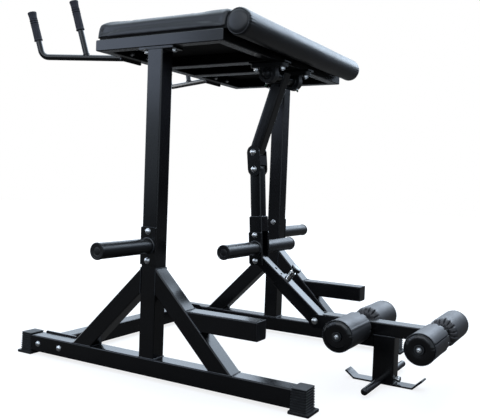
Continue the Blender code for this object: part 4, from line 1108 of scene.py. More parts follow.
@dataclass
class PlateHorns:
    """Horns for weight plates, on the uprights and on the pendulum.

    Attributes:
        radius: Radius of a horn.
        rim: How far its end rim stands proud.
        plate: Thickness of the flange plate.
        frame_plate: Width and height of an upright's flange plate.
        arm_plate: Width and height of the pendulum's.
        bolt: Distance of the flange's bolts from the horn.
        tube: Side of the upright's tube.
    """

    radius: float = 0.025
    rim: float = 0.0015
    plate: float = 0.006
    frame_plate: tuple[float, float] = (0.060, 0.125)
    arm_plate: tuple[float, float] = (0.053, 0.119)
    bolt: float = 0.048
    tube: float = 0.060

    def build(self) -> None:
        """Build the four horns."""
        along_arm = (joint_place("lower_link_hinge") - self.pendulum_axis()).normalized()
        for side in Side:
            self.horn(side.node("storage_horn"), side, Z, "frame")
            self.horn(side.node("pendulum_horn"), side, along_arm, "lower_arm")

    @staticmethod
    def pendulum_axis() -> Vector:
        """Middle of the pendulum's horns."""
        centre = Extent.of("pendulum_horn_left").centre
        return Vector((centre.x, 0.0, centre.z))

    def horn(self, node: str, side: Side, plate_up: Vector, body: str) -> None:
        """One horn with its flange, weld and bolts.

        Args:
            node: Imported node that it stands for.
            side: Side of the machine.
            plate_up: Direction of the flange's length.
            body: Body that it rides on.
        """
        box = Extent.of(node)
        root, end = min(abs(box.low.y), abs(box.high.y)), box.size.y
        place = at((box.centre.x, side.value * root, box.centre.z), side.outward, plate_up)
        on_frame = body == "frame"
        r, rim, face = self.radius, self.radius + self.rim, end - 0.0012
        horn = form(POWDER_COAT)
        flange = self.frame_plate if on_frame else self.arm_plate
        horn.slab(*flange, self.plate, shifted(place, z=self.plate / 2))
        horn.use(SATIN_COAT).lathe([
            (0.0, face), (0.011, face), (0.0125, end - 0.0022), (0.0140, face), (rim - 0.006, face),
            (rim - 0.0052, end - 0.0003), (rim - 0.0022, end), (rim - 0.0006, end - 0.0006),
            (rim, end - 0.0022), (rim, end - 0.0042), (rim - 0.0006, end - 0.0050), (r, end - 0.0056),
            (r, end * 0.5), (r, self.plate - 0.001), (0.0, self.plate - 0.001)], place, 72)
        horn.use(WELD_COAT).bead(ring_points(r + 0.0012, 60, place, self.plate + 0.0010), 0.0030)
        horn.piece(node.replace("horn", "plate_horn"), body, [node])
        bolts = form(ZINC)
        for offset in (-self.bolt, self.bolt):
            bolts.bolt(shifted(place, y=offset, z=self.plate), Head.DOME)
            if on_frame:
                bolts.bolt(turned_over(shifted(place, y=offset, z=-self.tube - 0.0003)), Head.NUT)
        bolts.piece(node.replace("horn", "horn_bolts"), body)


@dataclass
class Handles:
    """Bent handle arms with their foam grips.

    Attributes:
        y: Where an arm leaves the head tube.
        drop: Arm's axis below the middle of the head tube.
        splay: Angle that an arm turns outwards, in degrees.
        lean: Angle that a handle leans away, in degrees.
        radius: Radius of the bar.
        reach: Length of an arm to its corner.
        middle: Distance of the middle handle along the arm.
        bend: Bend radius.
        plate: Width, height and thickness of the fixing plate.
        plate_y: Middle of the plate across the machine.
        bolt: Distance of its bolts from that middle.
        end_grip: Start and end of the end handle's grip.
        middle_grip: Start and end of the middle handle's grip.
        grip: Radius of a grip.
        groove: Radius in the grooves above its rings.
    """

    y: float = 0.260
    drop: float = 0.0067
    splay: float = 24.0
    lean: float = 15.5
    radius: float = 0.011
    reach: float = 0.353
    middle: float = 0.180
    bend: float = 0.032
    plate: tuple[float, float, float] = (0.115, 0.045, 0.006)
    plate_y: float = 0.280
    bolt: float = 0.046
    end_grip: tuple[float, float] = (0.062, 0.171)
    middle_grip: tuple[float, float] = (0.105, 0.216)
    grip: float = 0.0145
    groove: float = 0.0129

    def build(self) -> None:
        """Build both handles."""
        for side in Side:
            self.handle(side)

    def handle(self, side: Side) -> None:
        """One arm, its second bar, plate and grips.

        Args:
            side: Side of the machine.
        """
        tube = Extent.of("pad_head_tube")
        splay, lean = math.radians(self.splay), math.radians(self.lean)
        outward = Vector((-math.cos(splay), side.value * math.sin(splay), 0.0))
        upward = outward * math.sin(lean) + Z * math.cos(lean)
        root = Vector((tube.low.x - 0.0048, side.value * self.y, tube.centre.z - self.drop))
        corner, fork = root + outward * self.reach, root + outward * self.middle
        end_top, middle_top = self.end_grip[1] - 0.004, self.middle_grip[1] - 0.004
        arm = form(POWDER_COAT)
        centre = self.plate_middle(side, tube)
        width, height, thick = self.plate
        arm.slab(height, width, thick, at(centre, -X, Y))
        path = arc_path(root + outward * 0.002, corner, corner + upward * end_top, self.bend)
        arm.sweep(path, self.radius, 32)
        arm.sweep([fork, fork + upward * middle_top], self.radius, 32)
        arm.bead(ring_points(self.radius + 0.0006, 40, at(fork + upward * 0.0125, upward)), 0.0017)
        arm.bead(ring_points(self.radius + 0.0012, 40, at(root + outward * 0.0035, -X)), 0.0020)
        arm.piece(side.node("handle_bar"), "frame", [side.node("handle_arm")])
        self.plate_bolts(side, tube, centre)
        for foot, (start, end), which in ((corner, self.end_grip, "end"), (fork, self.middle_grip, "middle")):
            self.foam(side.node(f"grip_{which}"), at(foot + upward * start, upward), end - start)

    def plate_middle(self, side: Side, tube: Extent) -> Vector:
        """Middle of a fixing plate.

        Args:
            side: Side of the machine.
            tube: Room of the head tube.

        Returns:
            The point.
        """
        _, height, thick = self.plate
        return Vector((tube.low.x - 0.0003 - thick / 2, side.value * self.plate_y,
                       tube.high.z - 0.001 - height / 2))

    def plate_bolts(self, side: Side, tube: Extent, centre: Vector) -> None:
        """Bolts of a fixing plate, through the head tube.

        Args:
            side: Side of the machine.
            tube: Room of the head tube.
            centre: Middle of the plate.
        """
        thick = self.plate[2]
        bolts = form(ZINC)
        for y in (centre.y - self.bolt, centre.y + self.bolt):
            bolts.bolt(at((centre.x - thick / 2, y, centre.z), -X), Head.HEX, 0.008)
            bolts.bolt(at((tube.high.x, y, centre.z), X), Head.NUT, 0.008)
        bolts.piece(side.node("handle_bolts"), "frame")

    def foam(self, node: str, place: Matrix, top: float) -> None:
        """Foam grip with a flared top, three rings and a flange at its foot.

        Args:
            node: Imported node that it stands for.
            place: Middle of its lower end; Z points up the handle.
            top: Its length.
        """
        bore, wide = self.radius + 0.0003, self.grip
        profile = [(0.0, top - 0.0010), (0.0110, top - 0.0008), (0.0138, top - 0.0002),
                   (0.0156, top - 0.0006), (0.0166, top - 0.0026), (0.0164, top - 0.0052),
                   (0.0154, top - 0.0105), (0.0147, top - 0.0170), (wide, top - 0.0230)]
        for ring in range(3):
            start = top - 0.0265 - ring * 0.0085
            profile += [(wide, start), (self.groove, start - 0.0008), (self.groove, start - 0.0026),
                        (0.0150, start - 0.0034), (0.0155, start - 0.0050), (0.0150, start - 0.0066)]
        profile += [(wide, top - 0.0560), (0.0146, top * 0.30), (0.0148, 0.0160), (0.0146, 0.0075),
                    (0.0149, 0.0045), (0.0156, 0.0036), (0.0159, 0.0022), (0.0156, 0.0006),
                    (0.0148, 0.0), (bore, 0.0), (bore, 0.010), (0.0, 0.010)]
        piece = form(FOAM).lathe(profile, place, 56).piece(f"foam_{node}", "frame", [node], 60.0)


# Table


def replace_mesh(piece: Piece) -> None:
    """Make a piece's evaluated mesh its own, and drop its modifiers.

    Args:
        piece: The piece.
    """
    looks = list(piece.data.materials)
    mesh = bpy.data.meshes.new_from_object(piece.evaluated_get(bpy.context.evaluated_depsgraph_get()))
    piece.modifiers.clear()
    piece.data = mesh
    mesh.materials.clear()
    for look in looks:
        mesh.materials.append(look)
    mesh.shade_smooth()


@dataclass
class Cushion:
    """The table's cushion: vinyl pulled over foam on the board, its hip end pressed against the roll.

    Attributes:
        inset: How much smaller the pad starts, before it swells.
        voxel: Cell of the remesh.
        frames: Steps of the cloth simulation.
        travel: Farthest that a point may move.
        held: Height of the foot that is held while it swells.
        crown: How much higher the middle is than the edges.
        nose: Radius of the rounded top edge.
        corner: How much the corners' radius grows from the foot to the top.
        lip: Height of the foam that leans over the roll.
        gap: Clearance to the roll and to the board.
        slack: How far the vinyl may stand past its room.
        fold: Depth of the folds at the head end's corners.
        fold_reach: Distance of the folds from the corner.
        fold_width: How far they fade on both sides of that.
        fold_band: Depth of the faces' skin that folds.
        ripple: Depth of the ripples.
    """

    inset: float = 0.0004
    voxel: float = 0.0065
    frames: int = 16
    travel: float = 0.0060
    held: float = 0.003
    crown: float = 0.0050
    nose: float = 0.0150
    corner: float = 0.0100
    lip: float = 0.0085
    gap: float = 0.0006
    slack: float = 0.0015
    fold: float = 0.0017
    fold_reach: float = 0.034
    fold_width: float = 0.022
    fold_band: float = 0.014
    ripple: float = 0.0011

    def build(self) -> None:
        """Build the pad, swell it and let it settle."""
        box, roll = Extent.of("pad_cushion"), Extent.of("hip_roll")
        pad = self.block(box, roll).piece("table_cushion", "frame", ["pad_cushion"], 180.0)
        remesh = pad.modifiers.new("Even mesh", 'REMESH')
        remesh.mode = 'VOXEL'
        remesh.voxel_size = self.voxel
        remesh.use_smooth_shade = True
        replace_mesh(pad)
        self.lift_crown(pad, box)
        self.swell(pad, box.low.z + self.held)
        self.settle(pad, box, roll)
        soften = pad.modifiers.new("Soften", 'SUBSURF')
        soften.levels = soften.render_levels = 1

    def block(self, box: Extent, roll: Extent) -> Form:
        """Foam block with a rounded top edge and a hip end cut to the roll.

        Args:
            box: Room of the cushion.
            roll: Room of the roll.

        Returns:
            The block.
        """
        height = box.size.z - self.crown
        levels = [(0.0, 0.0015), (0.004, 0.0002), (0.009, 0.0)]
        levels += [(height - self.nose + self.nose * math.sin(math.radians(a)),
                    self.nose * (1 - math.cos(math.radians(a)))) for a in range(0, 91, 10)]
        head, half_y = box.low.x + self.inset, box.high.y - self.inset
        axis, radius = roll.centre, roll.size.z / 2 + self.gap
        highest = box.low.z + height - self.lip
        rings = []
        for level, turned_in in levels:
            rise = max(0.0, min(box.low.z + level, highest) - axis.z)
            hip = axis.x - math.sqrt(max(0.0, radius ** 2 - rise ** 2)) - 0.0015 * (level / height)
            hip -= max(0.0, turned_in - self.nose * 0.7) * 0.5
            length, width = hip - head - turned_in, 2 * (half_y - turned_in)
            grown = 0.004 + self.corner * smooth_step(0.0, height * 0.8, level)
            middle = Vector((head + turned_in + length / 2, 0.0, box.low.z + level))
            rings.append([p + middle for p in rounded(length, width, grown, 6)])
        return form(CUSHION_VINYL).loft(rings)

    def lift_crown(self, pad: Piece, box: Extent) -> None:
        """Raise the top to a low crown that stays full up to the roll.

        Args:
            pad: The pad.
            box: Room of the cushion.
        """
        centre, half = box.centre, box.size / 2
        for vertex in pad.data.vertices:
            u = min(0.0, (vertex.co.x - centre.x) / half.x)
            v = (vertex.co.y - centre.y) / half.y
            share = smooth_step(box.low.z + 0.015, box.high.z - self.crown - 0.002, vertex.co.z)
            vertex.co.z += self.crown * share * max(0.0, 1 - abs(u) ** 3) * max(0.0, 1 - abs(v) ** 6)

    def swell(self, pad: Piece, floor: float) -> None:
        """Swell the pad with cloth under pressure, held along its foot.

        Args:
            pad: The pad.
            floor: Height below which its points are held.
        """
        rest = [vertex.co.copy() for vertex in pad.data.vertices]
        held = pad.vertex_groups.new(name="held")
        held.add([i for i, p in enumerate(rest) if p.z < floor], 1.0, 'REPLACE')
        settings = pad.modifiers.new("Swell", 'CLOTH').settings
        settings.quality = 4
        settings.mass = 0.4
        settings.tension_stiffness = settings.compression_stiffness = 22.0
        settings.bending_stiffness = 4.0
        settings.use_pressure = True
        settings.uniform_pressure_force = 4.0
        settings.vertex_group_mass = held.name
        settings.effector_weights.gravity = 0.0
        scene = bpy.context.scene
        for step in range(1, self.frames + 1):
            scene.frame_set(step)
        replace_mesh(pad)
        scene.frame_set(1)
        for vertex, old in zip(pad.data.vertices, rest):
            move = vertex.co - old
            if move.length > self.travel:
                vertex.co = old + move * (self.travel / move.length)

    def settle(self, pad: Piece, box: Extent, roll: Extent) -> None:
        """Fold the head end's corners, ripple the vinyl a little and keep clear of board and roll.

        Args:
            pad: The pad.
            box: Room of the cushion.
            roll: Room of the roll.
        """
        board, low, high = Extent.of("pad_board"), box.low, box.high
        axis, radius = roll.centre, roll.size.z / 2 + self.gap
        for vertex in pad.data.vertices:
            point = vertex.co
            from_head, from_side = point.x - low.x, high.y - abs(point.y)
            rise = point.z - low.z
            if from_side < self.fold_band:
                point.y -= math.copysign(self.crease(from_head, rise), point.y)
            if from_head < self.fold_band:
                point.x += self.crease(from_side, rise)
            broad = noise.noise(Vector((point.x * 9, point.y * 7, point.z * 22)))
            point.z += self.ripple * broad * smooth_step(0.4, 1.0, rise / box.size.z)
            fine = self.ripple * noise.noise(point * 22)
            point.y += math.copysign(fine, point.y) * smooth_step(0.02, 0.0, from_side)
            point.x = max(point.x, low.x - self.slack)
            point.y = min(max(point.y, low.y - self.slack), high.y + self.slack)
            point.z = min(max(point.z, low.z), high.z + self.slack)
            if abs(point.y) < board.high.y and point.x > board.low.x:
                point.z = max(point.z, board.high.z + self.gap)
            away = Vector((point.x - axis.x, 0.0, point.z - axis.z))
            if away.length < radius:
                point += away.normalized() * (radius - away.length)

    def crease(self, along: float, rise: float) -> float:
        """Depth of the folds that fan out from a bottom corner of the head end.

        Args:
            along: Distance from the corner.
            rise: Height above the foot.

        Returns:
            How far the vinyl is drawn in.
        """
        reach, fan = math.hypot(along, rise), math.atan2(rise, max(along, 1e-4))
        strength = math.exp(-((reach - self.fold_reach) / self.fold_width) ** 2)
        return self.fold * strength * (0.45 + math.sin(7.5 * fan + 30 * reach))


@dataclass
class HipRoll:
    """Round roll along the hip end of the table.

    Attributes:
        seam: Radius of the stitched seam in its ends.
        stitch: Length of a stitch.
        pitch: Distance from stitch to stitch, in stitches.
        sunk: How far the vinyl lies inside the roll's room.
        pucker: Depth of the puckers at the ends.
        dip: Depth of the dips in the foam.
    """

    seam: float = 0.0375
    stitch: float = 0.0032
    pitch: float = 1.45
    sunk: float = 0.0009
    pucker: float = 0.0005
    dip: float = 0.0011

    def build(self) -> None:
        """Build the roll and its stitching."""
        box = Extent.of("hip_roll")
        radius, half, seam = box.size.z / 2, box.size.y / 2, self.seam
        place = at(box.centre, Y, Z)
        end = [(0.0, half - 0.0004), (0.012, half - 0.0004), (0.026, half - 0.0010),
               (seam - 0.0025, half - 0.0026), (seam - 0.0008, half - 0.0042), (seam, half - 0.0050),
               (seam + 0.0008, half - 0.0044), (seam + 0.0022, half - 0.0036),
               (radius - 0.0022, half - 0.0058), (radius - 0.0006, half - 0.0095)]
        body = [(radius, half - 0.016 - (2 * half - 0.032) * i / 110) for i in range(111)]
        roll = form(CUSHION_VINYL).lathe(end + body + mirrored(end), place, 112,
                                         warp=lambda p: self.press(p, half))
        roll.piece("hip_roll_cover", "frame", ["hip_roll"], 180.0)
        stitches = form(THREAD)
        points = 4 * round(2 * math.pi * seam / (self.stitch * self.pitch))
        for side in Side:
            line = ring_points(seam + 0.0014, points, place, side.value * (half - 0.0037))
            for i in range(0, points, 4):
                stitches.sweep(line[i:i + 3], [0.0003, 0.0005, 0.0003], 6)
        stitches.piece("hip_roll_stitching", "frame")

    def press(self, point: Vector, half: float) -> Vector:
        """Let the foam under the vinyl dip and pucker.

        Args:
            point: Point of the roll, its length along Z.
            half: Half the roll's length.

        Returns:
            The moved point.
        """
        distance, angle = polar(point)
        if distance < 1e-6:
            return point
        near_end = smooth_step(0.060, 0.0, half - abs(point.z))
        pucker = self.pucker * near_end * math.sin(angle * 34 + 2 * math.sin(angle * 3))
        dip = self.dip * noise.noise(spoke(angle) * 1.4 + Z * (point.z * 5))
        share = distance / 0.0435
        return point + spoke(angle) * ((pucker + dip - self.sunk) * share)


@dataclass
class Table:
    """Board, cushion and hip roll."""

    def build(self) -> None:
        """Dress the board and pad the table."""
        dress(BOARD_CLOTH, "pad_board")
        Cushion().build()
        HipRoll().build()


# Pendulum


@dataclass
class Bearings:
    """Flanged bearings under the table, with their bolts and grease nipples.

    Attributes:
        bolt: Distance of a foot's bolt from the shaft.
        foot: Height of the housing's foot.
        radius: Radius of the housing.
        nipples: Angle of the left and the right grease nipple about the shaft, in degrees.
    """

    bolt: float = 0.0525
    foot: float = 0.014
    radius: float = 0.033
    nipples: tuple[float, float] = (255.0, 300.0)

    def build(self) -> None:
        """Dress the bearings and add bolts and nipples."""
        dress(CAST_IRON, *both("pillow_block"), rounding=0.0012)
        dress(BLACK_STEEL, *both("bearing_insert"), "pivot_shaft", rounding=0.0)
        shaft = joint_place("pendulum_swing")
        for side, turn in zip(Side, self.nipples):
            box = Extent.of(side.node("pillow_block"))
            bolts = form(ZINC)
            for x in (shaft.x - self.bolt, shaft.x + self.bolt):
                bolts.bolt(at((x, box.centre.y, box.high.z - self.foot), -Z, X), Head.NUT)
            bolts.piece(side.node("bearing_bolts"), "frame")
            outward = Vector((math.cos(math.radians(turn)), 0.0, math.sin(math.radians(turn))))
            place = at(Vector((shaft.x, box.centre.y, shaft.z)) + outward * (self.radius - 0.001), outward)
            nipple = form(ZINC).hexagon(place, 0.0080, 0.0045)
            nipple.use(GREEN_CAP).lathe([(0.0, 0.0125), (0.0022, 0.0120), (0.0034, 0.0105), (0.0036, 0.0060),
                                         (0.0030, 0.0045), (0.0, 0.0045)], place, 20)
            nipple.piece(side.node("grease_nipple"), "frame")


def through_bolt(node: str, joint: str, body: str, thread: float = 0.012) -> None:
    """Bolt across the machine with a head on the left and a nut on the right.

    Args:
        node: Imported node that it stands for.
        joint: Joint that turns on it.
        body: Body that it rides on.
        thread: Diameter of its thread.
    """
    centre, half = joint_place(joint), thread / 2
    grip = -Extent.of(node).low.y - 0.007
    bolt = form(ZINC).lathe([(0.0, grip), (half, grip), (half, -grip), (0.0, -grip)], at(centre, Y), 24)
    bolt.bolt(at(centre - Y * grip, -Y), Head.DOME, thread * 0.92)
    bolt.bolt(at(centre + Y * grip, Y), Head.NUT, thread * 0.92)
    bolt.piece(f"zinc_{node}", body, [node])


@dataclass
class SwingArms:
    """Upper arm, link and lower arm with the link's bolts and the arm's welds.

    Attributes:
        arm: Side of the arm's square tube.
        channel_start: Distance from the lower bolt to where the arm widens.
        boss: Radius of the boss.
        boss_half: Distance of its ends from the machine's middle.
    """

    arm: float = 0.045
    channel_start: float = 0.178
    boss: float = 0.0195
    boss_half: float = 0.0232

    def build(self) -> None:
        """Dress the arms and add bolts and welds."""
        dress(POWDER_COAT, "upper_arm", "link", "lower_arm", rounding=0.0012)
        for end in ("upper", "lower"):
            through_bolt(f"link_bolt_{end}", f"{end}_link_hinge", "link")
        self.welds()

    def welds(self) -> None:
        """Beads at the channel and at the boss."""
        foot, shaft = joint_place("lower_link_hinge"), joint_place("pendulum_swing")
        down = (PlateHorns.pendulum_axis() - foot).normalized()
        place, width = at(foot + down * self.channel_start, down, Y), self.arm + 0.001
        form(WELD).bead(box_path(place, width, width), 0.0024).piece("channel_welds", "lower_arm")
        beads = form(WELD_COAT)
        for side in Side:
            beads.bead(ring_points(self.boss, 48, at(shaft + side.outward * self.boss_half, Y)), 0.0022)
        beads.piece("boss_welds", "swing_arm")


@dataclass
class LegSlide:
    """Drilled tube, sleeve and the pin that sets the leg length.

    Attributes:
        barrel: Radius of the pin's barrel.
        groove: Depth of the groove around the barrel.
        knob: Radius of the knob.
        tip: Height of the pin's tip above the slide's middle line.
        tip_radius: Radius of that tip.
    """

    barrel: float = 0.0113
    groove: float = 0.0006
    knob: float = 0.019
    tip: float = 0.0206
    tip_radius: float = 0.0035

    def build(self) -> None:
        """Dress the tubes and build the barrel and the pin."""
        dress(POWDER_COAT, "extension_tube", "slider_sleeve", rounding=0.0004)
        up = joint_axis("pop_pin_drop")
        place = at(self.pin_foot(up), up, Y)
        outer, neck, knob = self.barrel, self.barrel - self.groove, self.knob
        barrel = form(CHROME).lathe([
            (0.0088, 0.0582), (outer - 0.001, 0.0582), (outer, 0.0572), (outer, 0.0480), (neck, 0.0472),
            (neck, 0.0446), (outer, 0.0438), (outer, 0.0290), (outer + 0.0012, 0.0262),
            (outer + 0.0014, 0.0252), (0.0090, 0.0252)], place, 40, ring=True)
        barrel.piece("pin_barrel", "sleeve")
        pin = form(KNOB_GLOSS).lathe([
            (0.0, 0.0830), (0.0100, 0.0829), (0.0150, 0.0824), (0.0178, 0.0812), (knob, 0.0788),
            (knob, 0.0712), (0.0184, 0.0686), (0.0160, 0.0671), (0.0100, 0.0668), (0.0, 0.0668)], place, 56)
        pin.use(CHROME).lathe([
            (0.0, 0.0670), (0.0078, 0.0670), (0.0078, 0.0572), (0.0050, 0.0570), (0.0050, 0.0226),
            (0.0036, self.tip), (0.0, self.tip)], place, 32)
        pin.piece("pull_pin", "pop_pin", ["pop_pin"])

    def pin_foot(self, up: Vector) -> Vector:
        """Point on the slide's middle line under the pin.

        Args:
            up: Direction of the pin.

        Returns:
            The point.
        """
        box = Extent.of("pop_pin")
        return Vector((box.low.x + self.tip_radius * up.z - self.tip * up.x, 0.0,
                       box.low.z + self.tip_radius * up.x - self.tip * up.z))


# Foot bar


@dataclass
class FootBar:
    """Roller bar with its post, hook, peg and thumb screw.

    Attributes:
        post: Length and width of the post.
        foot_weld: Width of the bead at its foot.
        bar_half: Half the height of the bar.
        end_half: Half the width of its end cap's bead.
        peg: Radius of the peg.
        axle_radius: Radius of the rollers' axles.
        flutes: Number of flutes around the thumb screw.
        flute_depth: Share of its radius that a flute takes.
        screw: Radius of the thumb screw.
    """

    post: tuple[float, float] = (0.073, 0.0594)
    foot_weld: float = 0.050
    bar_half: float = 0.020
    end_half: float = 0.028
    peg: float = 0.0115
    axle_radius: float = 0.0125
    flutes: int = 14
    flute_depth: float = 0.07
    screw: float = 0.0105

    def build(self) -> None:
        """Dress the bar and build its fittings."""
        dress(POWDER_COAT, "roller_bar", "hook_bar", rounding=0.0010)
        for position in POSITIONS:
            self.axle(f"axle_{position}")
        through_bolt("hinge_bolt", "roller_bar_hinge", "roller_bar")
        self.welds()
        self.cross_peg()
        self.thumb_screw()

    def welds(self) -> None:
        """Beads at both ends of the post and at the bar's end cap."""
        middle_x, end_x = Extent.of("peg_rod").centre.x, Extent.of("roller_bar").high.x - 0.0012
        axle, (length, width) = joint_place("roller_outer_left_spin").z, self.post
        beads = form(WELD_COAT)
        for height, across, radius in ((axle - self.bar_half - 0.0022, width + 0.0006, 0.0022),
                                       (0.0068, self.foot_weld, 0.0016)):
            beads.bead(box_path(at((middle_x, 0.0, height)), length + 0.0006, across), radius)
        y, low, high = self.end_half, axle - self.bar_half, axle + self.bar_half
        corners = ((-y, high), (y, high), (y, low), (-y, low))
        beads.bead([Vector((end_x, *corner)) for corner in corners], 0.0014)
        beads.piece("post_welds", "roller_bar")

    def axle(self, node: str) -> None:
        """Axle with a collar, washer and button-head bolt a side.

        Args:
            node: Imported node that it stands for.
        """
        box = Extent.of(node)
        radius, face = self.axle_radius, box.size.y / 2 - 0.006
        half = [(0.0, face - 0.0004), (radius + 0.0026, face - 0.0004), (radius + 0.003, face - 0.0008),
                (radius + 0.003, face - 0.003), (radius, face - 0.003), (radius, 0.0352),
                (radius + 0.004, 0.0352), (radius + 0.004, 0.0315), (radius, 0.0315)]
        button = [(0.0, 0.0018), (0.0028, 0.0018), (0.0031, 0.0050), (0.0040, 0.0048), (0.0054, 0.0037),
                  (0.0063, 0.0019), (0.0064, 0.0006), (0.0080, 0.0006), (0.0082, 0.0), (0.0, 0.0)]
        place = at(box.centre, Y)
        made = form(BLACK_STEEL).lathe(half + mirrored(half), place, 40).use(ZINC)
        for way in (place, turned_over(place)):
            made.lathe(button, shifted(way, z=face - 0.0004), 36)
        made.piece(f"steel_{node}", "roller_bar", [node])

    def cross_peg(self) -> None:
        """Smooth peg with domed ends."""
        box = Extent.of("peg_rod")
        half, r = box.size.y / 2, self.peg
        dome = [(r * math.sin(a), half - 0.0058 * (1 - math.cos(a))) for a in quarter(8)]
        steel = [(r, half - 0.030 * i) for i in range(1, 14)]
        peg = form(POWDER_COAT).lathe(dome + steel + mirrored(dome), at(box.centre, Y), 40)
        peg.piece("foot_peg", "peg", ["peg_rod"])

    def thumb_screw(self) -> None:
        """Fluted thumb screw."""
        box, centre = Extent.of("thumb_screw"), joint_place("thumb_screw_turn")
        start, end, wide = box.low.x - centre.x, box.high.x - centre.x, self.screw
        knob = [(0.0, end), (0.0070, end), (0.0092, end - 0.0008), (wide, end - 0.0022), (wide, end - 0.0100),
                (0.0094, end - 0.0114), (0.0063, end - 0.0120), (0.0063, 0.0022), (0.0040, 0.0020),
                (0.0040, start + 0.001), (0.0030, start), (0.0, start)]
        screw = form(ZINC).lathe(knob, at(centre, X), 84, warp=self.fluted)
        screw.piece("fluted_thumb_screw", "thumb_screw", ["thumb_screw"], 50.0)

    def fluted(self, point: Vector) -> Vector:
        """Cut flutes into the widest part of the thumb screw.

        Args:
            point: Point of the screw, its length along Z.

        Returns:
            The moved point.
        """
        distance, angle = polar(point)
        if distance < 0.0092:
            return point
        cut = 1 - self.flute_depth * (0.5 + 0.5 * math.cos(self.flutes * angle))
        return Vector((point.x * cut, point.y * cut, point.z))


